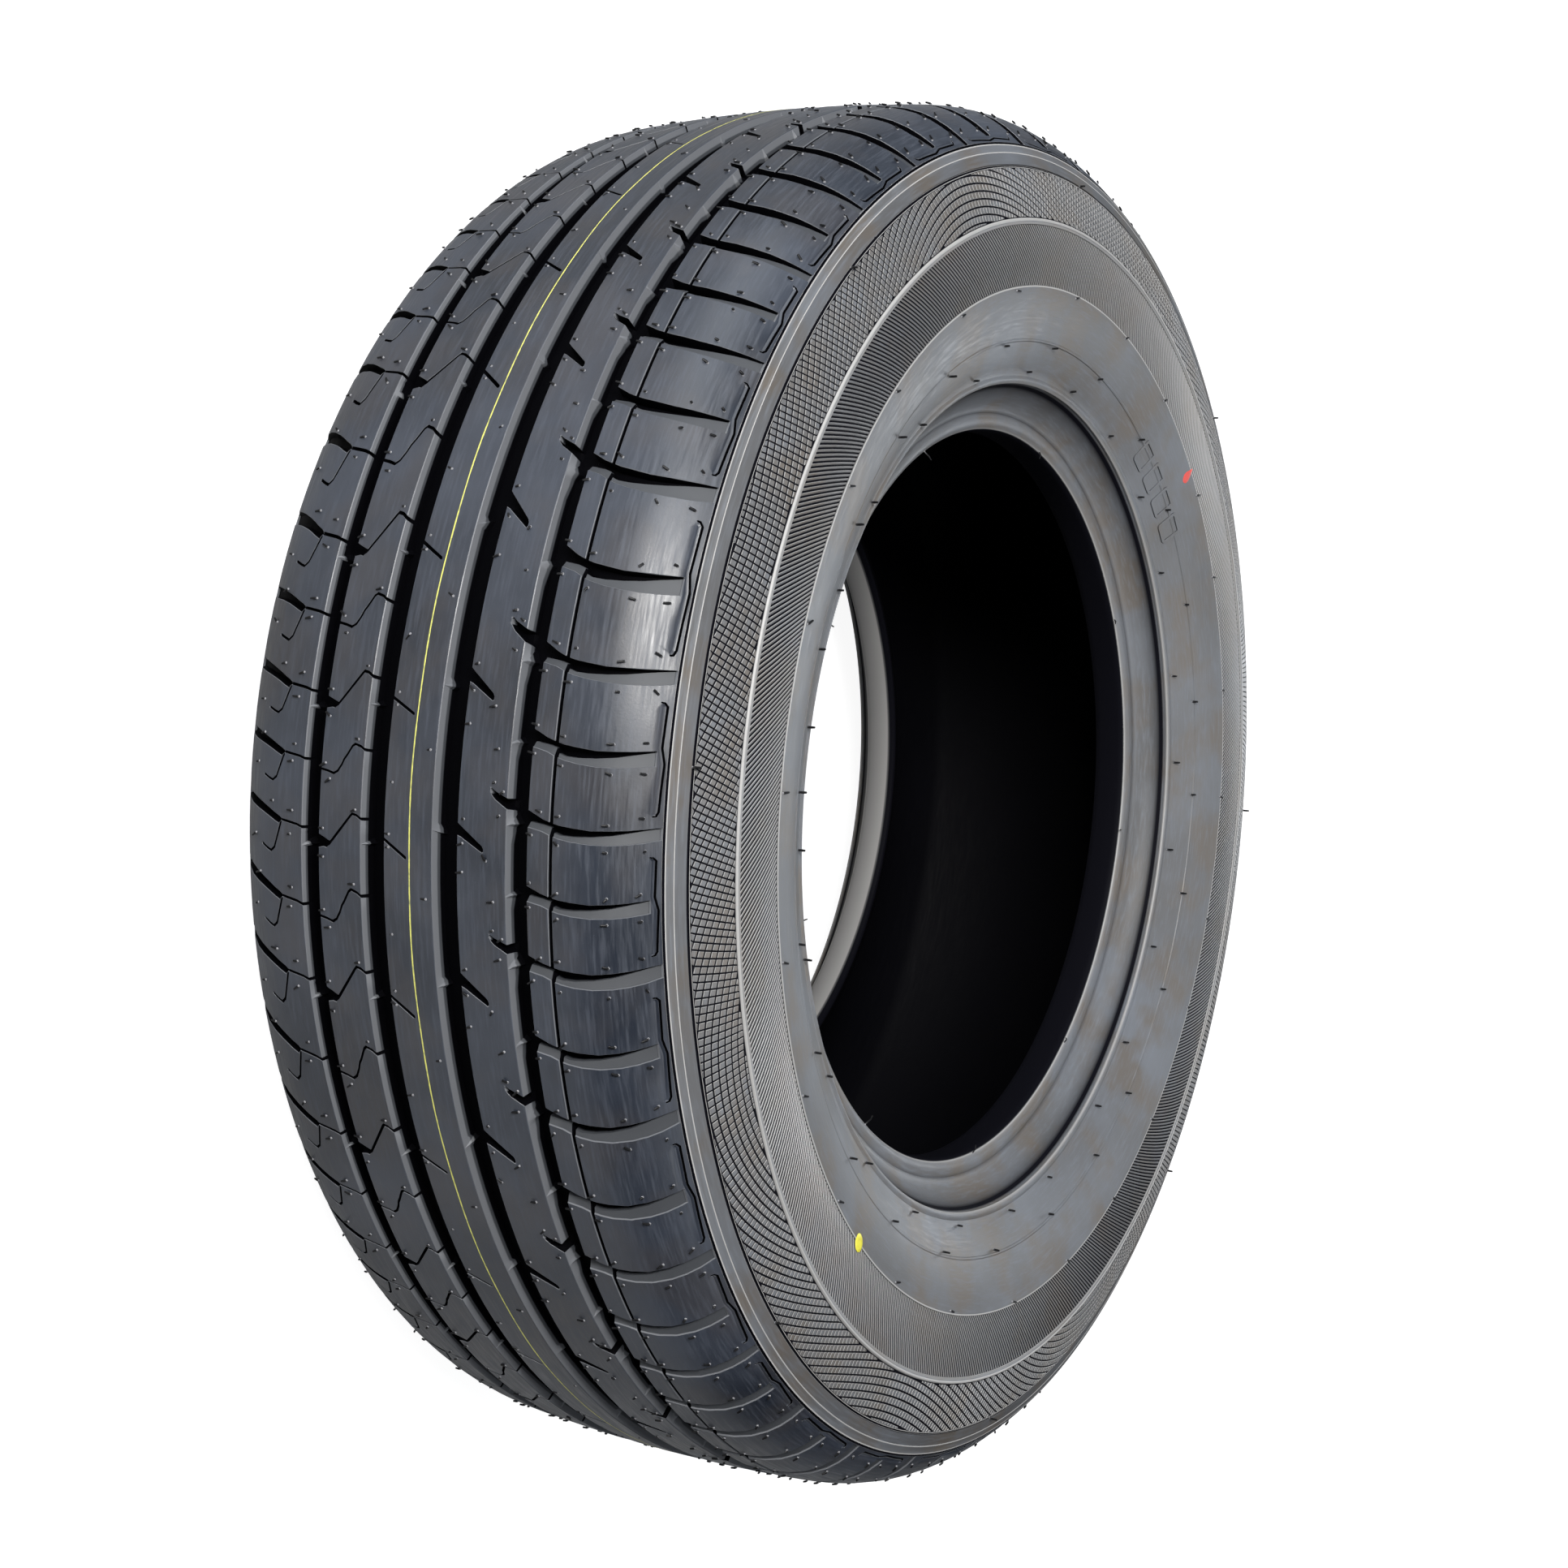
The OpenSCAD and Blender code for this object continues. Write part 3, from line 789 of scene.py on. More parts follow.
@dataclass
class KnurlBand:
    """Raised pads between two families of crossing lines, whose angle sways round the tyre."""

    section: Section
    height: float = 0.5
    lines_round: int = 612
    rise_per_mm: float = 0.25
    sway: float = 11.2
    sway_count: int = 4
    sway_start: float = 1.55
    lean: float = -0.02
    lean_sway: float = 0.13
    top_share: float = 0.68
    foot_share: float = 0.84
    # Painted light on the pads' tops, a touch of the wall colour
    top_tone: float = 0.12
    foot_lift: float = -0.08
    inner_gap: float = 1.5
    outer_gap: float = 1.3
    least_top: float = 1.2
    solve_steps: int = 12
    solve_limit: float = 0.05

    def middle_r(self) -> float:
        """Radius of the band's middle."""
        return (self.section.line_r + self.section.band_r) / 2

    def slopes(self, theta: np.ndarray, r: np.ndarray) -> tuple[np.ndarray, ...]:
        """How fast the two line counts grow with the angle and with the radius."""
        wave = self.sway_count * (theta - self.sway_start)
        r0 = self.middle_r()
        rising_t = -self.sway * self.sway_count * np.cos(wave)
        steep_t = self.lines_round / (2 * math.pi) - self.lean_sway * self.sway_count * np.sin(wave) * (r - r0)
        steep_r = self.lean + self.lean_sway * np.cos(wave)
        return rising_t, np.full_like(theta, self.rise_per_mm), steep_t, steep_r

    def counts(self, theta: np.ndarray, r: np.ndarray) -> tuple[np.ndarray, np.ndarray]:
        """Line counts of both families at the points (theta, r)."""
        wave = self.sway_count * (theta - self.sway_start)
        r0 = self.middle_r()
        rising = self.rise_per_mm * (r - r0) - self.sway * np.sin(wave)
        steep = self.lines_round * theta / (2 * math.pi) + (self.lean + self.lean_sway * np.cos(wave)) * (r - r0)
        return rising, steep

    def centres(self) -> tuple[np.ndarray, np.ndarray]:
        """Angles and radii of the pads' middles."""
        r0 = self.middle_r()
        half = (self.section.line_r - self.section.band_r) / 2 + 2
        reach = int(self.sway + self.rise_per_mm * half) + 2
        steep, rising = np.meshgrid(np.arange(self.lines_round) + 0.5, np.arange(-reach, reach) + 0.5)
        theta = steep * (2 * math.pi / self.lines_round)
        r = np.full_like(theta, r0)
        for _ in range(self.solve_steps):
            rising_t, rising_r, steep_t, steep_r = self.slopes(theta, r)
            now_rising, now_steep = self.counts(theta, r)
            miss_rising, miss_steep = rising - now_rising, steep - now_steep
            size = rising_t * steep_r - rising_r * steep_t
            theta = theta + (miss_rising * steep_r - miss_steep * rising_r) / size
            r = np.clip(r + (rising_t * miss_steep - steep_t * miss_rising) / size, r0 - 3 * half, r0 + 3 * half)
        near = np.abs(r - r0) < half
        now_rising, now_steep = self.counts(theta, r)
        miss = np.maximum(np.abs(now_rising - rising), np.abs(now_steep - steep))
        solved = miss < self.solve_limit
        return theta[near & solved], r[near & solved]

    def add_to(self, builder: MeshBuilder) -> None:
        """Adds the pads to the sidewall's mesh."""
        theta, r = self.centres()
        rising_t, rising_r, steep_t, steep_r = self.slopes(theta, r)
        size = rising_t * steep_r - rising_r * steep_t
        along_rising = np.stack([steep_r, -steep_t], axis=-1) / size[:, None]
        along_steep = np.stack([-rising_r, rising_t], axis=-1) / size[:, None]
        low, high = self.section.band_r + self.inner_gap, self.section.line_r - self.outer_gap
        signs = ((-0.5, -0.5), (0.5, -0.5), (0.5, 0.5), (-0.5, 0.5))
        rings = []
        for share, lift in ((self.foot_share, self.foot_lift), (self.top_share, self.height)):
            for a, b in signs:
                corner = np.stack([theta, r], axis=-1) + share * (a * along_rising + b * along_steep)
                radius = np.clip(corner[:, 1], low, high)
                base = self.section.side_point(radius, np.full_like(radius, lift - self.section.sizes.band_depth))
                rings.append(around(corner[:, 0], base[:, 0], base[:, 1]))
        points = np.stack(rings, axis=1)
        tops = np.linalg.norm(np.cross(points[:, 6] - points[:, 4], points[:, 7] - points[:, 5]), axis=-1)
        points = points[tops > self.least_top]
        first = np.arange(len(points))[:, None] * 8
        corner_numbers = np.array([[4, 5, 6, 7], [0, 1, 5, 4], [1, 2, 6, 5], [2, 3, 7, 6], [3, 0, 4, 7]])
        faces = (first[:, None, :] + corner_numbers[None]).reshape(-1, 4)
        turned = np.cross(points[0, 5] - points[0, 4], points[0, 6] - points[0, 4])[2] < 0
        # Painted shade in the gaps at the pads' feet, with painted light where their sides meet their tops
        shade = np.tile([PAINTED_DEEP_SHADE] * 4 + [self.top_tone] * 4, len(points))
        builder.add(points, faces[:, ::-1] if turned else faces, shade)


@dataclass
class RibBand:
    """Fine slanting ribs that fill the middle band of the sidewall."""

    section: Section
    count: int = 725
    lean: float = 0.83
    height: float = 0.5
    top_share: float = 0.32
    foot_share: float = 0.64
    # Painted shade on the ribs' tops
    top_tone: float = -0.5
    foot_lift: float = -0.05
    inner_gap: float = -0.1
    outer_gap: float = 2.4
    inner_height_share: float = 0.9
    steps: int = 6

    def add_to(self, builder: MeshBuilder) -> None:
        """Adds the ribs to the sidewall's mesh."""
        section = self.section
        r = np.linspace(section.band_in_r + self.inner_gap, section.band_r - self.outer_gap, self.steps + 1)
        pitch = 2 * math.pi / self.count
        start = np.arange(self.count) * pitch
        middle = self.lean * (r - section.band_in_r) / ((r + section.band_in_r) / 2)
        lift = np.full_like(r, self.height)
        lift[0] = self.height * self.inner_height_share
        columns = []
        for share, up in ((-self.foot_share, self.foot_lift), (-self.top_share, 1.0), (self.top_share, 1.0),
                          (self.foot_share, self.foot_lift)):
            base = section.side_point(r, lift * up - 2 * section.sizes.band_depth)
            theta = start[:, None] + middle[None] + share * pitch / 2
            columns.append(around(theta, base[None, :, 0], base[None, :, 1]))
        points = np.stack(columns, axis=2)
        rows, across = self.steps + 1, len(columns)
        feet = np.arange(self.count) * rows * across
        cell = np.arange(self.steps)[None, :, None] * across + np.arange(across - 1)[None, None, :]
        here = (feet[:, None, None] + cell).reshape(-1)
        faces = np.stack([here, here + across, here + across + 1, here + 1], axis=-1)
        ends = feet[:, None] + np.arange(across)[None]
        far = ends + self.steps * across
        # Painted shade on the ribs' tops and black at their feet, with painted light on their sides between
        tones = np.tile([PAINTED_DEEP_SHADE, self.top_tone, self.top_tone, PAINTED_DEEP_SHADE], self.count * rows)
        first = builder.add(points, faces, tones)
        builder.add_faces(np.concatenate([ends, far[:, ::-1]]), first)


@dataclass
class Sidewall:
    """One sidewall: plain band, knurled band, ribbed band, smooth band, fine ring and guard ridge."""

    section: Section
    segments: int = 480
    ring_height: float = 0.6
    split_drop: float = 6.2
    crease: float = 0.4
    frame_angles: tuple[float, ...] = (5.421, 5.503, 5.584, 5.664)
    frame_radius: float = 249.0
    frame_size: float = 14.6
    frame_wall: float = 1.7
    frame_height: float = 0.7
    frame_corner: float = 2.2
    frame_foot: float = 0.25
    frame_turn: float = 15.0
    frame_shadow: float = 0.9
    # Painted shade on the plain band
    plain_tone: float = -0.7
    # The hollow for the rim's flange, from its upper edge at 0 to the heel at 1, with its share of shadow
    hollow_steps: tuple[float, ...] = (0.0, 0.03, 0.08, 0.15, 0.22, 0.29, 0.36, 0.44, 0.54, 0.66, 0.78, 0.86,
                                       0.9, 1.0)
    hollow_at: tuple[float, ...] = (0.0, 0.01, 0.08, 0.14, 0.25, 0.4, 0.78, 0.9, 1.0)
    hollow_shadow: tuple[float, ...] = (0.1, 1.0, 1.0, 0.55, 0.22, 0.0, 0.0, 0.4, 0.05)
    hollow_bow: float = 0.85
    heel_turns: tuple[float, ...] = (0.0, 10.0, 20.0, 30.0, 40.0, 48.0, 54.0, 60.0, 70.0, 80.0, 90.0)

    def profile(self) -> np.ndarray:
        """Rows (radius, height over the sidewall's own curve, painted light and shade), from the tread edge to the
        guard ridge.
        """
        s = self.section
        low, plain = -s.sizes.band_depth, self.plain_tone
        edge, line, ring, inner, fine = s.edge_r, s.line_r, s.band_r, s.band_in_r, s.fine_ring_r
        split = edge - self.split_drop
        # Painted light on the thin lines and ridge tops, painted shade in the band floors and black lines
        rows: list[Point3] = [
            (edge, 0.0, 0.0), (edge - 0.9, -0.1, NARROW_CUT_SHADE), (edge - 1.25, -0.9, NARROW_CUT_SHADE), (edge - 1.65, -0.1, NARROW_CUT_SHADE),
            (edge - 1.8, 0.0, PAINTED_LIGHT), (edge - 2.15, 0.0, PAINTED_LIGHT), (edge - 2.5, -0.05, 0.0),
            (edge - 3.9, -0.05, 0.0), (split + 0.3, -0.05, 0.0), (split + 0.1, 0.05, PAINTED_LIGHT),
            (split - 0.15, 0.05, PAINTED_LIGHT), (split - 0.4, -0.2, plain), (split - 2.5, -0.2, plain),
            (line + 1.2, -0.15, plain), (line + 0.7, -0.15, plain), (line + 0.5, -0.9, SHADOW),
            (line - 0.3, -0.9, NARROW_CUT_SHADE), (line - 0.6, -0.9, NARROW_CUT_SHADE), (line - 0.75, -0.15, PAINTED_LIGHT),
            (line - 0.95, -0.15, PAINTED_LIGHT), (line - 1.2, low, PAINTED_DEEP_SHADE),
        ]
        rows += [(r, low, PAINTED_DEEP_SHADE) for r in np.linspace(line - 4.0, ring + 4.0, 8)]
        rows += [
            (ring + 1.2, low, PAINTED_DEEP_SHADE), (ring + 0.95, 0.1, PAINTED_LIGHT), (ring + 0.4, self.ring_height, PAINTED_LIGHT),
            (ring - 0.2, self.ring_height, PAINTED_LIGHT), (ring - 0.8, 0.2, 0.0), (ring - 1.2, 0.0, 0.5),
            (ring - 2.2, -0.05, 0.5), (ring - 2.45, 2 * low, PAINTED_DEEP_SHADE),
        ]
        rows += [(r, 2 * low, PAINTED_DEEP_SHADE) for r in np.linspace(ring - 5.0, inner + 3.0, 9)]
        rows += [(inner + 0.15, 2 * low, PAINTED_DEEP_SHADE), (inner - 0.1, -0.05, PAINTED_LIGHT), (inner - 0.5, 0.0, PAINTED_LIGHT),
                 (inner - 0.9, 0.0, 0.0)]
        rows += [(r, 0.0, 0.0) for r in np.linspace(inner - 3.0, fine + 2.0, 9)]
        rows += [(fine + 0.9, 0.0, 0.0), (fine + 0.4, 0.35, 0.0), (fine - 0.4, 0.35, 0.0), (fine - 0.9, 0.0, 0.0)]
        top = s.guard_r + s.sizes.guard_width
        guard = s.sizes.guard_height
        rows += [(r, 0.0, 0.0) for r in np.linspace(fine - 2.5, top + 3.0, 7)]
        rows += [(top + 1.2, 0.35, 0.0), (top + 0.3, 1.35, 0.0), (top - 0.7, guard, 0.0),
                 (s.guard_r + 1.1, guard, 0.6), (s.guard_r + 0.6, guard - 0.3, 1.0)]
        return np.array(rows)

    def surface(self) -> tuple[np.ndarray, np.ndarray]:
        """The profile as points (radius, y) and the painted light and shade of each."""
        rows = self.profile()
        places = self.section.side_point(rows[:, 0], rows[:, 1])
        places[0] = self.section.tread_point(np.array(self.section.edge_y), np.array(0.0))
        return places, rows[:, 2]

    def bead(self, seat_tone: float) -> tuple[np.ndarray, np.ndarray]:
        """The hollow for the rim's flange, the heel, the seat and the toe.

        Args:
            seat_tone: Painted shade of the seat.

        Returns:
            Points (radius, y) and the painted light and shade of each.
        """
        s = self.section
        z = s.sizes
        start = np.array([s.guard_r, s.guard_y - 0.2])
        foot = np.array([s.seat_r + z.heel_radius + 2, s.heel_y])
        t = np.array(self.hollow_steps)
        hollow = np.stack([start[0] - (start[0] - foot[0]) * t**self.hollow_bow,
                           foot[1] + (start[1] - foot[1]) * (1 - t) ** 2], axis=-1)
        hollow[-2, 1] -= self.crease
        # Painted shadow under the guard ridge, fading across the hollow
        tones = np.interp(t, self.hollow_at, np.array(self.hollow_shadow) * SHADOW)
        turn = np.radians(self.heel_turns)
        heel = np.stack([s.seat_r + z.heel_radius * (1 - np.sin(turn)),
                         s.heel_y - z.heel_radius * (1 - np.cos(turn))], axis=-1)
        # Painted light on the heel's turn, then painted shade on the seat, and the toe painted black as shade
        heel_tones = np.interp(np.degrees(turn), [20.0, 40.0, 50.0, 56.0],
                               [0.0, 0.3, min(0.9, seat_tone), seat_tone])
        seat_in = s.seat_in()
        toe_in = seat_in - z.toe_width
        toe = np.array([(s.seat_r, seat_in), (s.seat_r + 0.7, seat_in - 2.2), (s.seat_r + 1.6, toe_in),
                        (s.seat_r + 2.6, toe_in - 0.5), s.toe_end()])
        toe_tones = np.array([seat_tone - 0.8] + [PAINTED_DEEP_SHADE] * (len(toe) - 1))
        return np.vstack([hollow, heel, toe]), np.concatenate([tones, heel_tones, toe_tones])

    def add_frames(self, builder: MeshBuilder) -> None:
        """Adds the four blank raised frames in a row over the guard ridge."""
        corner, wall, height, foot = self.frame_corner, self.frame_wall, self.frame_height, self.frame_foot
        turn = np.radians(np.arange(0, 360, self.frame_turn) + self.frame_turn / 2)
        unit = np.stack([np.cos(turn), np.sin(turn)], axis=-1)
        core = np.sign(unit) * (self.frame_size / 2 - corner)
        outline = [core + unit * (corner + off) for off in (foot, 0.0, -wall, -wall - foot)]
        for angle in self.frame_angles:
            rings = []
            for ring, lift in zip(outline, (-0.05, height, height, -0.05)):
                radius = self.frame_radius + ring[:, 1]
                base = self.section.side_point(radius, np.full_like(radius, lift))
                rings.append(around(angle - ring[:, 0] / self.frame_radius, base[:, 0], base[:, 1]))
            points = np.concatenate(rings)
            n = len(turn)
            at = np.arange(n)
            nxt = (at + 1) % n
            quads = [np.stack([at + n * i, nxt + n * i, nxt + n * (i + 1), at + n * (i + 1)], axis=-1)
                     for i in range(3)]
            tones = np.array([self.frame_shadow, 0.0, 0.0, self.frame_shadow]) * SHADOW
            builder.add(points, np.concatenate(quads), np.repeat(tones, n))

    def build(self, side: Side, rubber: bpy.types.Material) -> bpy.types.Object:
        """Builds one sidewall.

        Args:
            side: Which sidewall it is.
            rubber: Its material.

        Returns:
            The sidewall as one object.
        """
        builder = MeshBuilder()
        places, tones = self.surface()
        # Painted shade on the seats: black on the outer bead, a lighter half shade on the inner one
        bead, bead_tones = self.bead(PAINTED_DEEP_SHADE if side is Side.OUTER else INNER_SEAT_SHADE)
        revolve(builder, np.vstack([places, bead]), self.segments, np.concatenate([tones, bead_tones]))
        KnurlBand(self.section).add_to(builder)
        RibBand(self.section).add_to(builder)
        if side is Side.OUTER:
            self.add_frames(builder)
        else:
            builder.mirror()
        return builder.build(f"{side.name.lower()}_sidewall", rubber, crease=28.0)


@dataclass
class Lining:
    """The plain inside of the casing, from toe to toe."""

    section: Section
    segments: int = 240
    side_steps: int = 26
    crown_steps: int = 18
    crown_power: float = 2.6

    def build(self, rubber: bpy.types.Material) -> bpy.types.Object:
        """Builds the lining.

        Args:
            rubber: Its material.

        Returns:
            The lining as one object.
        """
        s = self.section
        toe = np.array([s.toe_end()])
        r = np.linspace(s.in_bead_r, s.in_shoulder_r, self.side_steps)
        wall = np.stack([r, s.side(r) - s.wall(r)], axis=-1)
        edge_y = wall[-1, 1]
        t = 1 - np.arange(1, self.crown_steps + 1) / self.crown_steps
        top = s.top_r - s.sizes.crown_thickness
        crown = np.stack([top - (top - s.in_shoulder_r) * t**self.crown_power, edge_y * t], axis=-1)
        half = np.vstack([toe, wall, crown])
        full = np.vstack([half, (half * [1, -1])[-2::-1]])
        builder = MeshBuilder()
        revolve(builder, full, self.segments)
        return builder.build("inner_lining", rubber, crease=50.0)


@dataclass
class VentStubs:
    """The short rubber hairs that the mould's vents leave on the blocks, along the rings and in the bead."""

    pattern: TreadPattern
    radius: float = 0.58
    side_radius: float = 0.65
    nub: float = 0.75
    edge_gap: float = 0.2
    lean_spread: float = 0.4
    lengths: tuple[float, ...] = (0.9, 1.8, 2.4, 2.8, 3.2)
    side_rise: Point2 = (3.2, 4.6)
    side_reach: Point2 = (3.5, 5.0)
    side_spread: float = 0.03
    bead_count: int = 9
    bead_start: float = 0.4
    bead_radius: float = 0.4
    bead_nub: float = 0.45
    bead_room: float = 9.0
    bead_rise: Point2 = (4.0, 6.0)
    bead_reach: Point2 = (1.5, 3.0)
    bead_spread: float = 0.05
    seed: int = 7
    sides: int = 6
    block_places: tuple[Point2, ...] = (
        (56.7, 66.6), (80.5, 66.0), (92.8, 65.8), (45.6, 70.8), (46.7, 79.9), (60.8, 79.7), (84.4, 79.7),
        (97.2, 79.7), (49.4, 100.8), (63.0, 100.5), (86.0, 100.8), (99.4, 100.8), (83.9, 112.4), (98.0, 112.6),
        (45.6, 112.8), (61.7, 113.6), (55.4, 31.0), (67.6, 30.6), (73.6, 43.2), (34.6, 46.4), (38.4, 51.2),
        (49.0, 49.6), (20.0, 47.0), (10.0, 30.6), (-1.0, -50.6), (12.6, -50.4), (37.0, -50.6), (45.0, -47.4),
        (-12.4, -31.0), (23.4, -31.6), (-1.6, -10.6), (4.6, -10.8), (26.0, 10.4), (44.0, -9.8), (29.0, -71.0),
        (38.0, -72.0), (-8.0, -70.6), (4.0, -71.8), (24.0, -94.0), (40.0, -98.0), (-12.0, -84.0), (6.0, -98.0),
    )

    def __post_init__(self) -> None:
        """Seeds the random lengths and leans."""
        self.random = random.Random(self.seed)

    def add_hair(self, builder: MeshBuilder, foot: np.ndarray, out: np.ndarray, lean: np.ndarray,
                 reach: Point2, free: float, nub: float, hair: float) -> None:
        """Adds one hair on a low round nub, whose top takes a painted highlight.

        Args:
            builder: Mesh that takes it.
            foot: Point on the surface.
            out: Unit normal of the surface.
            lean: Direction along the surface towards which the hair bends.
            reach: How far the hair reaches along the surface, and how far it rises.
            free: Room over the surface.
            nub: Radius of the nub at its foot.
            hair: Radius of the hair.
        """
        side = np.cross(out, lean)
        turn = np.arange(self.sides) * (2 * math.pi / self.sides)
        along, rise = reach
        room = free - hair
        path = [(nub, -0.1, 0.0), (nub * 0.75, min(0.2, free), 0.0), (hair, min(0.35, room), 0.04 * along),
                (hair, min(rise * 0.65, room), 0.3 * along), (hair * 0.8, min(rise, room), along)]
        rings = []
        middles = [foot + out * up + lean * far for _, up, far in path]
        for i, (radius, _, _) in enumerate(path):
            way = out if i < 2 else middles[i] - middles[i - 1]
            way = way / max(float(np.linalg.norm(way)), 1e-6)
            across = np.cross(side, way)
            rings.append(middles[i] + radius * (np.cos(turn)[:, None] * across + np.sin(turn)[:, None] * side))
        at = np.arange(self.sides)
        nxt = (at + 1) % self.sides
        faces = [np.stack([at + self.sides * i, nxt + self.sides * i, nxt + self.sides * (i + 1),
                           at + self.sides * (i + 1)], axis=-1) for i in range(len(path) - 1)]
        # Painted highlight on the nub's top
        tones = np.repeat([0.0, PAINTED_LIGHT, 0.2, 0.0, 0.0], self.sides)
        first = builder.add(np.concatenate(rings), np.concatenate(faces), tones)
        builder.add_faces((at + self.sides * (len(path) - 1))[None], first)

    def tread_hairs(self, builder: MeshBuilder) -> None:
        """Adds the hairs of the tread, at the same places in every double pitch."""
        section = self.pattern.section
        places = np.array(self.block_places)
        ahead = places + [0.5, 0.0]
        across = places + [0.0, 0.5]
        zero = np.zeros(len(places))
        room = section.top_r - self.edge_gap - section.tread_point(places[:, 1], zero)[:, 0]
        for k in range(len(self.pattern.pitches.units)):
            feet, along, over = (self.pattern.place(p[:, 0], p[:, 1], zero, k) for p in (places, ahead, across))
            for foot, a, b, free in zip(feet, along, over, room):
                out = np.cross(a - foot, b - foot)
                out /= np.linalg.norm(out)
                angle = self.random.gauss(0.0, self.lean_spread)
                way = (foot - b) / np.linalg.norm(foot - b) * math.cos(angle)
                way = way + (a - foot) / np.linalg.norm(a - foot) * math.sin(angle)
                way -= out * (way @ out)
                way /= np.linalg.norm(way)
                length = self.random.choice(self.lengths)
                self.add_hair(builder, foot, out, way, (length, 1.0), float(free), self.nub, self.radius)

    def side_hairs(self, builder: MeshBuilder, radius: float, count: int, start: float) -> None:
        """Adds a ring of hairs on the outer sidewall, which stand out where there is room.

        Args:
            builder: Mesh that takes them.
            radius: Radius of the ring.
            count: Number of hairs round it.
            start: Angle of the first, in radians.
        """
        section = self.pattern.section
        base = section.side_point(np.array([radius]), np.array([-0.1]))[0]
        free = float(section.half_w - section.sizes.band_depth - base[1])
        out = np.array([0.0, 0.0, 1.0])
        for i in range(count):
            theta = start + 2 * math.pi * i / count + self.random.uniform(-self.side_spread, self.side_spread)
            foot = np.array([math.cos(theta) * base[0], math.sin(theta) * base[0], base[1]])
            way = np.array([0.35 * math.cos(theta) + self.random.gauss(0.0, 0.12), -1.0, 0.0])
            way /= np.linalg.norm(way)
            rise = self.random.uniform(*self.side_rise)
            along = 0.5 if free > rise else self.random.uniform(*self.side_reach)
            self.add_hair(builder, foot, out, way, (along, rise), free, self.side_radius, self.side_radius)

    def bead_hairs(self, builder: MeshBuilder) -> None:
        """Adds the hairs that point inwards from the heel of the outer bead."""
        section = self.pattern.section
        heel = section.sizes.heel_radius * (1 - math.sqrt(0.5))
        for i in range(self.bead_count):
            theta = self.bead_start + 2 * math.pi * i / self.bead_count
            theta += self.random.uniform(-self.bead_spread, self.bead_spread)
            ray = np.array([math.cos(theta), math.sin(theta), 0.0])
            ring = np.array([-math.sin(theta), math.cos(theta), 0.0])
            foot = ray * (section.seat_r + heel) + np.array([0.0, 0.0, section.heel_y - heel])
            out = (np.array([0.0, 0.0, 1.0]) - ray) * math.sqrt(0.5)
            way = -ray + np.array([0.0, 0.0, -0.6]) + ring * self.random.uniform(-0.6, 0.6)
            way -= out * (way @ out)
            way /= np.linalg.norm(way)
            reach = (self.random.uniform(*self.bead_reach), self.random.uniform(*self.bead_rise))
            self.add_hair(builder, foot, out, way, reach, self.bead_room, self.bead_nub, self.bead_radius)

    def build(self, rubber: bpy.types.Material) -> bpy.types.Object:
        """Builds every hair.

        Args:
            rubber: Its material.

        Returns:
            The hairs as one object.
        """
        section = self.pattern.section
        builder = MeshBuilder()
        self.tread_hairs(builder)
        rings = ((section.line_r + 0.4, 8, 0.73), (section.band_in_r - 2.0, 24, 0.22),
                 (section.fine_ring_r - 2.2, 24, 0.22), (section.guard_r + 6.2, 24, 0.06))
        for radius, count, start in rings:
            self.side_hairs(builder, radius, count, start)
        self.bead_hairs(builder)
        return builder.build("vent_stubs", rubber, crease=60.0)


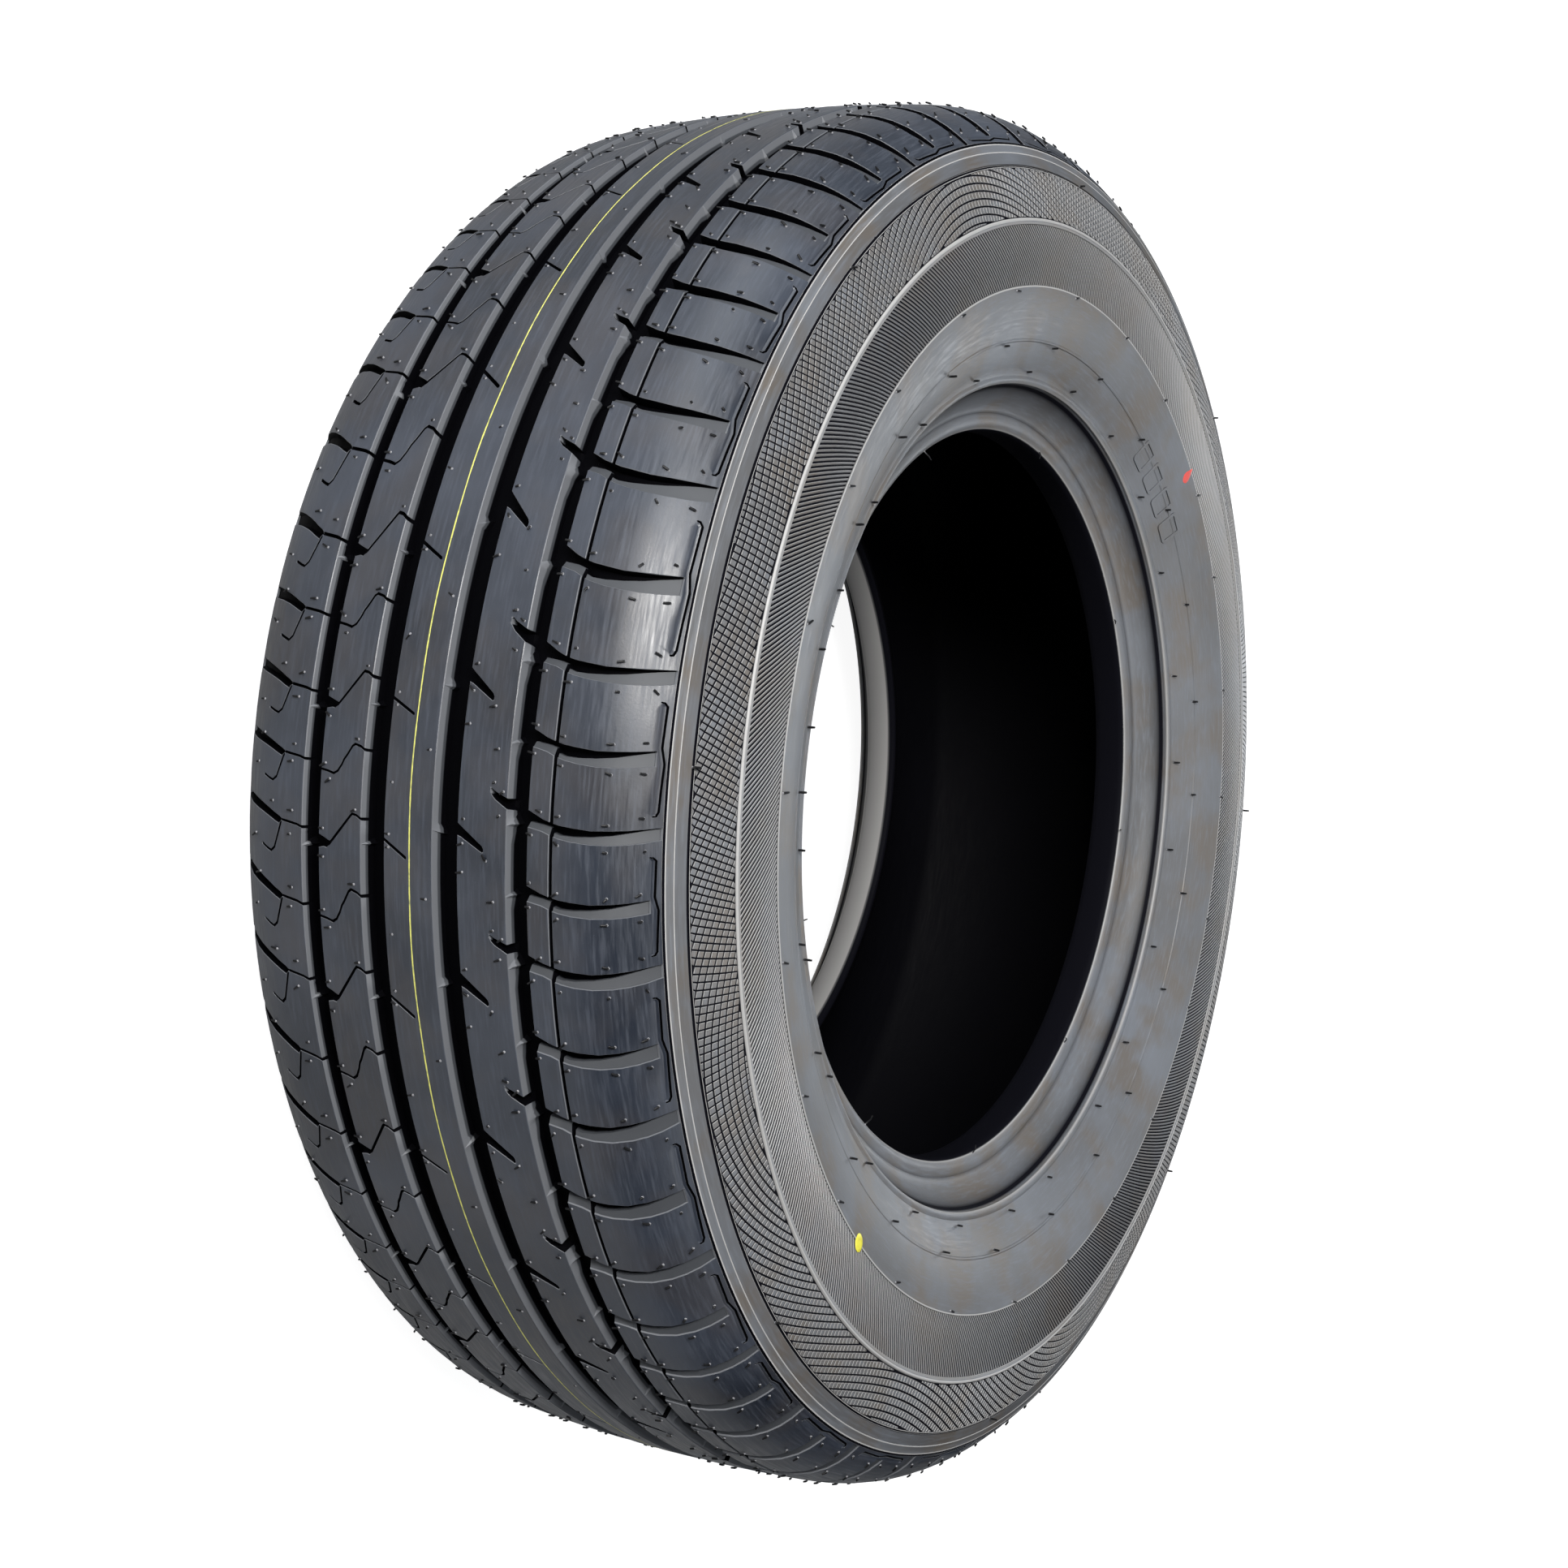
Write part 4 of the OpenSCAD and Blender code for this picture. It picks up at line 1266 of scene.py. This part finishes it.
@dataclass
class PaintMarks:
    """The maker's check marks in paint: a line round the tread, and two small dots on the sidewall."""

    section: Section
    line_y: float = 1.3
    line_width: float = 0.8
    line_steps: int = 1056
    dot_steps: int = 28
    dot_lift: float = 0.18
    yellow_at: Point2 = (2.413, 280.0)
    yellow_size: Point2 = (4.4, 4.6)
    red_at: Point2 = (5.499, 274.0)
    red_size: Point2 = (3.4, 4.2)
    red_tail: float = 4.0
    seed: int = 3

    def line(self, paint: bpy.types.Material) -> bpy.types.Object:
        """Builds the thin line round the tread.

        Args:
            paint: Its material.

        Returns:
            The line as one object.
        """
        source = random.Random(self.seed)
        theta = np.arange(self.line_steps) * (2 * math.pi / self.line_steps)
        wave = 0.25 * np.sin(7 * theta) + 0.15 * np.sin(31 * theta + 1.0)
        half = np.array([self.line_width / 2 * source.uniform(0.75, 1.1) for _ in theta])
        columns = []
        for share, depth in ((-1.0, -0.01), (-0.6, -0.07), (0.6, -0.07), (1.0, -0.01)):
            y = self.line_y + wave + share * half
            base = self.section.tread_point(y, np.full_like(y, depth))
            columns.append(around(theta, base[:, 0], base[:, 1]))
        points = np.stack(columns, axis=1)
        here = np.arange(self.line_steps)[:, None] * 4 + np.arange(3)[None]
        there = ((np.arange(self.line_steps) + 1) % self.line_steps)[:, None] * 4 + np.arange(3)[None]
        faces = np.stack([here, there, there + 1, here + 1], axis=-1).reshape(-1, 4)
        builder = MeshBuilder()
        builder.add(points, faces)
        return builder.build("tread_paint_line", paint)

    def dot(self, name: str, place: Point2, size: Point2, paint: bpy.types.Material,
            tail: float = 0.0) -> bpy.types.Object:
        """Builds one dot of paint on the outer sidewall.

        Args:
            name: Name of the object.
            place: Angle of its middle, in radians, and radius.
            size: Its half width round the tyre and its half height.
            paint: Its material.
            tail: How far it is drawn out to a point towards the tread.

        Returns:
            The dot as one object.
        """
        n = self.dot_steps
        theta, radius = place
        turn = np.arange(n) * (2 * math.pi / n)
        across = np.cos(turn) * size[0]
        up = np.sin(turn) * size[1]
        pull = np.clip(np.sin(turn), 0, 1) ** 2
        across = across * (1 - 0.6 * pull * min(tail, 1.0))
        up = up + tail * pull
        rings = []
        for share, lift in ((1.0, -0.06), (0.92, 0.12), (0.5, self.dot_lift)):
            r = radius + up * share
            base = self.section.side_point(r, np.full_like(r, lift))
            rings.append(around(theta + across * share / radius, base[:, 0], base[:, 1]))
        middle = self.section.side_point(np.array([radius]), np.array([self.dot_lift]))
        rings.append(around(np.array([theta]), middle[:, 0], middle[:, 1]))
        at = np.arange(n)
        nxt = (at + 1) % n
        quads = [np.stack([at + n * i, at + n * (i + 1), nxt + n * (i + 1), nxt + n * i], axis=-1)
                 for i in range(2)]
        fan = np.stack([at + 2 * n, np.full_like(at, 3 * n), nxt + 2 * n], axis=-1)
        builder = MeshBuilder()
        first = builder.add(np.concatenate(rings), np.concatenate(quads))
        builder.add_faces(fan, first)
        return builder.build(name, paint, crease=60.0)


class NodeKit:
    """Short ways to add shader nodes to one tree and to link them."""

    def __init__(self, tree: bpy.types.NodeTree) -> None:
        """Keeps the tree."""
        self.nodes, self.links = tree.nodes, tree.links

    def feed(self, socket: bpy.types.NodeSocket, value: object) -> None:
        """Links a socket to another one, or sets its value."""
        if isinstance(value, bpy.types.NodeSocket):
            self.links.new(value, socket)
        elif isinstance(value, tuple):
            socket.default_value = (*value, 1.0)
        else:
            socket.default_value = value

    def noise(self, place: bpy.types.NodeSocket, scale: float, detail: float = 4.0,
              rough: float = 0.55) -> bpy.types.NodeSocket:
        """A noise pattern at one scale."""
        node = self.nodes.new("ShaderNodeTexNoise")
        self.feed(node.inputs["Vector"], place)
        for key, value in (("Scale", scale), ("Detail", detail), ("Roughness", rough)):
            node.inputs[key].default_value = value
        return node.outputs["Fac"]

    def remap(self, value: bpy.types.NodeSocket, source: Point2, target: Point2) -> bpy.types.NodeSocket:
        """Maps a value from one range to another, held at its ends."""
        node = self.nodes.new("ShaderNodeMapRange")
        keys = ("From Min", "From Max", "To Min", "To Max")
        for key, number in zip(keys, (*source, *target)):
            node.inputs[key].default_value = number
        self.feed(node.inputs["Value"], value)
        return node.outputs["Result"]

    def math(self, operation: str, a: object, b: object = 0.0) -> bpy.types.NodeSocket:
        """Reckons with one or two values."""
        node = self.nodes.new("ShaderNodeMath")
        node.operation = operation
        self.feed(node.inputs[0], a)
        self.feed(node.inputs[1], b)
        return node.outputs[0]

    def blend(self, share: bpy.types.NodeSocket, a: object, b: object) -> bpy.types.NodeSocket:
        """Mixes two colours by a share."""
        node = self.nodes.new("ShaderNodeMix")
        node.data_type = "RGBA"
        self.feed(node.inputs["Factor"], share)
        self.feed(node.inputs[6], a)
        self.feed(node.inputs[7], b)
        return node.outputs[2]

    def drawn_out(self, place: bpy.types.NodeSocket, stretch: float) -> bpy.types.NodeSocket:
        """Coordinates that are drawn out round the axis, for streaks that run with the tyre.

        Args:
            place: Plain coordinates in metres.
            stretch: How much longer than wide the streaks are.

        Returns:
            The coordinates.
        """
        parts = self.nodes.new("ShaderNodeSeparateXYZ")
        self.feed(parts.inputs[0], place)
        x, y, z = parts.outputs
        turn = self.math("ARCTAN2", y, x)
        far = self.math("SQRT", self.math("ADD", self.math("MULTIPLY", x, x), self.math("MULTIPLY", y, y)))
        joined = self.nodes.new("ShaderNodeCombineXYZ")
        self.feed(joined.inputs[0], self.math("MULTIPLY", turn, TyreSizes().diameter * MM / 2 / stretch))
        self.feed(joined.inputs[1], far)
        self.feed(joined.inputs[2], z)
        return joined.outputs[0]


def new_material(name: str) -> tuple[bpy.types.Material, NodeKit, bpy.types.ShaderNode]:
    """Makes a material.

    Args:
        name: Its name.

    Returns:
        The material, a kit for its nodes and its own shader.
    """
    material = bpy.data.materials.new(name)
    material.use_nodes = True
    kit = NodeKit(material.node_tree)
    return material, kit, kit.nodes["Principled BSDF"]


@dataclass(frozen=True)
class Rubber:
    """Moulded black rubber: a satin face, with light and shade painted in along the shade attribute: painted light
    on walls, painted shade on slopes and in depths.
    """

    name: str
    face: Colour
    # The wall colour is painted light; the deep and slope colours are painted shade
    wall: Colour
    deep: Colour
    dust: Colour
    stain: Colour
    slope: Colour
    dust_share: float = 0.35
    stain_share: float = 0.0
    speck_share: float = 0.5
    # Where the shade attribute brings in the painted light, the painted half shade and the painted shade of depths
    painted_light_at: Point2 = (0.1, 0.5)
    half_shade_at: Point2 = (4.2, 5.0)
    deep_shade_at: Point2 = (6.2, 7.0)
    roughness: float = 0.36
    wall_roughness: float = 0.62
    roughness_spread: float = 0.12
    specular: float = 0.5
    deep_specular: float = 0.03
    streak_scale: float = 700.0
    streak_stretch: float = 14.0
    streak_at: Point2 = (0.48, 0.8)
    worn_at: Point2 = (0.3, 0.75)
    cloud_scale: float = 9.0
    cloud_at: Point2 = (0.42, 0.72)
    patch_scale: float = 24.0
    patch_at: Point2 = (0.46, 0.62)
    speck_scale: float = 1500.0
    speck_at: Point2 = (0.70, 0.76)
    grain: float = 900.0
    grain_height: float = 0.00006
    grain_strength: float = 0.6

    def build(self) -> bpy.types.Material:
        """Makes the material.

        Returns:
            The material, procedural throughout.
        """
        material, kit, shader = new_material(self.name)
        place = kit.nodes.new("ShaderNodeTexCoord").outputs["Object"]
        cloud = kit.noise(place, self.cloud_scale, 5.0)
        patch = kit.noise(place, self.patch_scale, 3.0)
        streak = kit.noise(kit.drawn_out(place, self.streak_stretch), self.streak_scale, 3.0, 0.6)
        speck = kit.noise(place, self.speck_scale, 2.0)
        face = kit.blend(kit.remap(cloud, self.cloud_at, (0.0, self.dust_share)), self.face, self.dust)
        face = kit.blend(kit.remap(patch, self.patch_at, (0.0, self.stain_share)), face, self.stain)
        face = kit.blend(kit.remap(streak, self.streak_at, (0.0, self.dust_share)), face, self.dust)
        face = kit.blend(kit.remap(speck, self.speck_at, (0.0, self.speck_share)), face, self.dust)
        # The shade attribute paints light and shade over the face: painted light on walls, painted half shade on
        # slopes, painted shade in depths, and a painted shadow below 0
        shade = kit.nodes.new("ShaderNodeAttribute")
        shade.attribute_name = "shade"
        tone = shade.outputs["Fac"]
        painted_light_share = kit.remap(tone, self.painted_light_at, (0.0, 1.0))
        surface = kit.blend(painted_light_share, face, self.wall)
        surface = kit.blend(kit.remap(tone, self.half_shade_at, (0.0, 1.0)), surface, self.slope)
        deep_shade_share = kit.remap(tone, self.deep_shade_at, (0.0, 1.0))
        shadow = kit.remap(tone, (SHADOW, 0.0), (1.0, 0.0))
        dark = kit.math("MAXIMUM", deep_shade_share, shadow)
        kit.feed(shader.inputs["Base Color"], kit.blend(dark, surface, self.deep))
        # The painted shade also takes away the shine, so that depths read black
        gloss = kit.remap(dark, (0.0, 1.0), (self.specular, self.deep_specular))
        kit.feed(shader.inputs["Specular IOR Level"], gloss)
        low, high = self.roughness - self.roughness_spread / 2, self.roughness + self.roughness_spread
        worn = kit.remap(streak, self.worn_at, (low, high))
        matt = kit.math("MULTIPLY", painted_light_share, self.wall_roughness)
        kit.feed(shader.inputs["Roughness"], kit.math("MAXIMUM", worn, matt))
        bump = kit.nodes.new("ShaderNodeBump")
        bump.inputs["Strength"].default_value = self.grain_strength
        bump.inputs["Distance"].default_value = self.grain_height
        kit.feed(bump.inputs["Height"], kit.noise(place, self.grain, 4.0, 0.65))
        kit.feed(shader.inputs["Normal"], bump.outputs["Normal"])
        return material


@dataclass(frozen=True)
class Paint:
    """A thin coat of marking paint, a little worn."""

    name: str
    colour: Colour
    worn: Colour
    roughness: float = 0.5
    wear_scale: float = 420.0

    def build(self) -> bpy.types.Material:
        """Makes the material.

        Returns:
            The material, procedural throughout.
        """
        material, kit, shader = new_material(self.name)
        shader.inputs["Roughness"].default_value = self.roughness
        place = kit.nodes.new("ShaderNodeTexCoord").outputs["Object"]
        wear = kit.remap(kit.noise(place, self.wear_scale), (0.5, 0.72), (0.0, 1.0))
        kit.feed(shader.inputs["Base Color"], kit.blend(wear, self.colour, self.worn))
        return material


@dataclass(frozen=True)
class SoftLamp:
    """One soft lamp: where it stands as seen from the tyre, its distance, size, power in watts and colour."""

    name: str
    direction: Point3
    distance: float
    size: Point2
    power: float
    colour: Colour

    def hang(self) -> None:
        """Hangs the lamp so that it faces the tyre."""
        data = bpy.data.lights.new(self.name, "AREA")
        data.shape = "RECTANGLE"
        data.size, data.size_y = self.size
        data.energy = self.power
        data.color = self.colour
        lamp = bpy.data.objects.new(self.name, data)
        bpy.context.scene.collection.objects.link(lamp)
        way = Vector(self.direction).normalized()
        lamp.location = way * self.distance
        lamp.rotation_mode = "QUATERNION"
        lamp.rotation_quaternion = way.to_track_quat("Z", "X")


@dataclass
class Studio:
    """A pale floor, soft lamps and the camera at the photograph's angle."""

    floor_z: float
    floor_size: float = 40.0
    floor_colour: Colour = (0.44, 0.44, 0.44)
    floor_glow: float = 0.93
    lens_mm: float = 53.4
    sensor_mm: float = 36.0
    place: Point3 = (0.0860, 1.1747, 0.6683)
    gaze: Point3 = (-0.0279, -0.8588, -0.5116)
    top: Point3 = (0.9985, 0.0, -0.0545)
    shift: Point2 = (-0.0067, -0.0550)
    world_colour: Colour = (0.80, 0.89, 1.0)
    world_strength: Point2 = (0.0, 0.40)
    lamps: tuple[SoftLamp, ...] = (
        SoftLamp("key", (0.35, 0.68, 0.62), 2.6, (1.6, 0.6), 66.0, (1.0, 0.99, 0.97)),
        SoftLamp("top", (1.0, 0.45, 0.14), 2.4, (1.6, 1.6), 16.0, (0.92, 0.96, 1.0)),
        SoftLamp("side", (-0.22, -0.45, 1.0), 3.0, (2.0, 1.4), 16.0, (0.97, 0.98, 1.0)),
        SoftLamp("low", (-0.6, 0.25, 0.8), 2.8, (1.6, 1.0), 7.0, (0.94, 0.97, 1.0)),
        SoftLamp("rim", (0.0, -1.0, 0.22), 3.2, (1.8, 0.6), 13.0, (0.90, 0.95, 1.0)),
    )

    def camera(self) -> None:
        """Places the camera, rolled on its side as the tyre lies and the photograph shows it upright."""
        data = bpy.data.cameras.new("camera")
        data.lens = self.lens_mm
        data.sensor_width = self.sensor_mm
        data.shift_x, data.shift_y = self.shift
        camera = bpy.data.objects.new("camera", data)
        bpy.context.scene.collection.objects.link(camera)
        back = -Vector(self.gaze).normalized()
        right = Vector(self.top).cross(back).normalized()
        up = back.cross(right)
        turn = Matrix((right, up, back)).transposed()
        camera.matrix_world = Matrix.Translation(self.place) @ turn.to_4x4()
        bpy.context.scene.camera = camera

    def world(self) -> None:
        """Makes the world: soft light that grows towards +X, the photograph's top, and white to the camera."""
        world = bpy.data.worlds.new("studio")
        bpy.context.scene.world = world
        world.use_nodes = True
        kit = NodeKit(world.node_tree)
        kit.nodes.clear()
        path = kit.nodes.new("ShaderNodeLightPath")
        parts = kit.nodes.new("ShaderNodeSeparateXYZ")
        kit.feed(parts.inputs[0], kit.nodes.new("ShaderNodeTexCoord").outputs["Generated"])
        soft = kit.nodes.new("ShaderNodeBackground")
        kit.feed(soft.inputs["Color"], self.world_colour)
        kit.feed(soft.inputs["Strength"], kit.remap(parts.outputs[0], (-0.5, 0.9), self.world_strength))
        white = kit.nodes.new("ShaderNodeBackground")
        kit.feed(white.inputs["Color"], (1.0, 1.0, 1.0))
        mix = kit.nodes.new("ShaderNodeMixShader")
        kit.feed(mix.inputs["Fac"], path.outputs["Is Camera Ray"])
        kit.feed(mix.inputs[1], soft.outputs[0])
        kit.feed(mix.inputs[2], white.outputs[0])
        kit.feed(kit.nodes.new("ShaderNodeOutputWorld").inputs["Surface"], mix.outputs[0])

    def floor(self) -> None:
        """Lays the pale floor, which reads white where no shadow falls."""
        bpy.ops.mesh.primitive_plane_add(size=self.floor_size, location=(0.0, 0.0, self.floor_z))
        floor = bpy.context.object
        floor.name = "studio_floor"
        material, kit, shader = new_material("pale_floor")
        kit.feed(shader.inputs["Base Color"], self.floor_colour)
        kit.feed(shader.inputs["Roughness"], 0.9)
        kit.feed(shader.inputs["Specular IOR Level"], 0.1)
        glow = kit.nodes.new("ShaderNodeEmission")
        kit.feed(glow.inputs["Strength"], self.floor_glow)
        add = kit.nodes.new("ShaderNodeAddShader")
        mix = kit.nodes.new("ShaderNodeMixShader")
        kit.feed(add.inputs[0], shader.outputs[0])
        kit.feed(add.inputs[1], glow.outputs[0])
        kit.feed(mix.inputs["Fac"], kit.nodes.new("ShaderNodeLightPath").outputs["Is Camera Ray"])
        kit.feed(mix.inputs[1], shader.outputs[0])
        kit.feed(mix.inputs[2], add.outputs[0])
        kit.feed(kit.nodes["Material Output"].inputs["Surface"], mix.outputs[0])
        floor.data.materials.append(material)
        floor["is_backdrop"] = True

    def build(self) -> None:
        """Sets the view transform and builds the whole studio."""
        bpy.context.scene.view_settings.view_transform = "Standard"
        self.camera()
        self.world()
        self.floor()
        for lamp in self.lamps:
            lamp.hang()


@dataclass(frozen=True)
class Finishes:
    """All finishes of the tyre, with the colours of its painted light and shade."""

    # The tread's face and dust lean blue partly as a painted sky reflection; its wall colour is painted light, its
    # slope and deep colours painted shade
    tread: Rubber = Rubber(
        "tread_rubber", face=(0.018, 0.023, 0.035), wall=(0.165, 0.172, 0.188), deep=(0.0016, 0.0016, 0.0024),
        dust=(0.092, 0.106, 0.140), stain=(0.070, 0.056, 0.047), slope=(0.044, 0.048, 0.056), dust_share=0.5,
        stain_share=0.25, roughness=0.38, roughness_spread=0.18, specular=0.88)
    # The sidewall's wall colour is painted light on edges, lines and pads; its slope and deep colours are painted
    # shade
    side: Rubber = Rubber(
        "sidewall_rubber", face=(0.126, 0.126, 0.129), wall=(0.47, 0.46, 0.45), deep=(0.006, 0.006, 0.009),
        dust=(0.21, 0.23, 0.265), stain=(0.145, 0.120, 0.095), slope=(0.10, 0.10, 0.103), dust_share=0.62,
        stain_share=0.75, painted_light_at=(0.1, 1.0), half_shade_at=(2.6, 4.6), deep_shade_at=(4.6, 7.0), roughness=0.44,
        wall_roughness=0.5, specular=0.8)
    # The lining's colours are far darker than the tread's, as painted shade inside the casing
    lining: Rubber = Rubber(
        "lining_rubber", face=(0.0024, 0.0024, 0.0036), wall=(0.004, 0.004, 0.004), deep=(0.002, 0.002, 0.002),
        dust=(0.004, 0.004, 0.006), stain=(0.004, 0.004, 0.004), slope=(0.002, 0.002, 0.002), specular=0.05,
        roughness=0.6, grain=300.0, grain_height=0.0002)
    # The hairs' wall colour is the painted highlight on their nubs
    stubs: Rubber = Rubber(
        "stub_rubber", face=(0.006, 0.006, 0.007), wall=(0.30, 0.30, 0.315), deep=(0.006, 0.006, 0.006),
        dust=(0.018, 0.018, 0.019), stain=(0.012, 0.012, 0.012), slope=(0.02, 0.02, 0.02), roughness=0.4,
        specular=0.3)
    yellow: Paint = Paint("yellow_paint", (0.84, 0.82, 0.20), (0.44, 0.45, 0.17))
    dot: Paint = Paint("yellow_dot_paint", (0.95, 0.87, 0.07), (0.80, 0.68, 0.05), 0.4)
    red: Paint = Paint("red_paint", (0.86, 0.10, 0.08), (0.70, 0.12, 0.10))


def describe(piece: bpy.types.Object) -> None:
    """Reports one finished piece."""
    triangles = sum(len(p.vertices) - 2 for p in piece.data.polygons)
    LOG.info("%s: %d points, %d triangles", piece.name, len(piece.data.vertices), triangles)


def main() -> None:
    """Builds the tyre and its studio."""
    logging.basicConfig(level=logging.INFO, format="%(name)s: %(message)s")
    cad_low, cad_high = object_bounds()
    Studio(floor_z=cad_low.z).build()
    section = Section()
    pattern = TreadPattern(section)
    finishes = Finishes()
    describe(Tread(pattern).build(finishes.tread.build()))
    side_rubber = finishes.side.build()
    sidewall = Sidewall(section)
    for side in Side:
        describe(sidewall.build(side, side_rubber))
    describe(Lining(section).build(finishes.lining.build()))
    describe(VentStubs(pattern).build(finishes.stubs.build()))
    marks = PaintMarks(section)
    describe(marks.line(finishes.yellow.build()))
    describe(marks.dot("yellow_dot", marks.yellow_at, marks.yellow_size, finishes.dot.build()))
    describe(marks.dot("red_mark", marks.red_at, marks.red_size, finishes.red.build(), marks.red_tail))


if __name__ == "__main__":
    main()
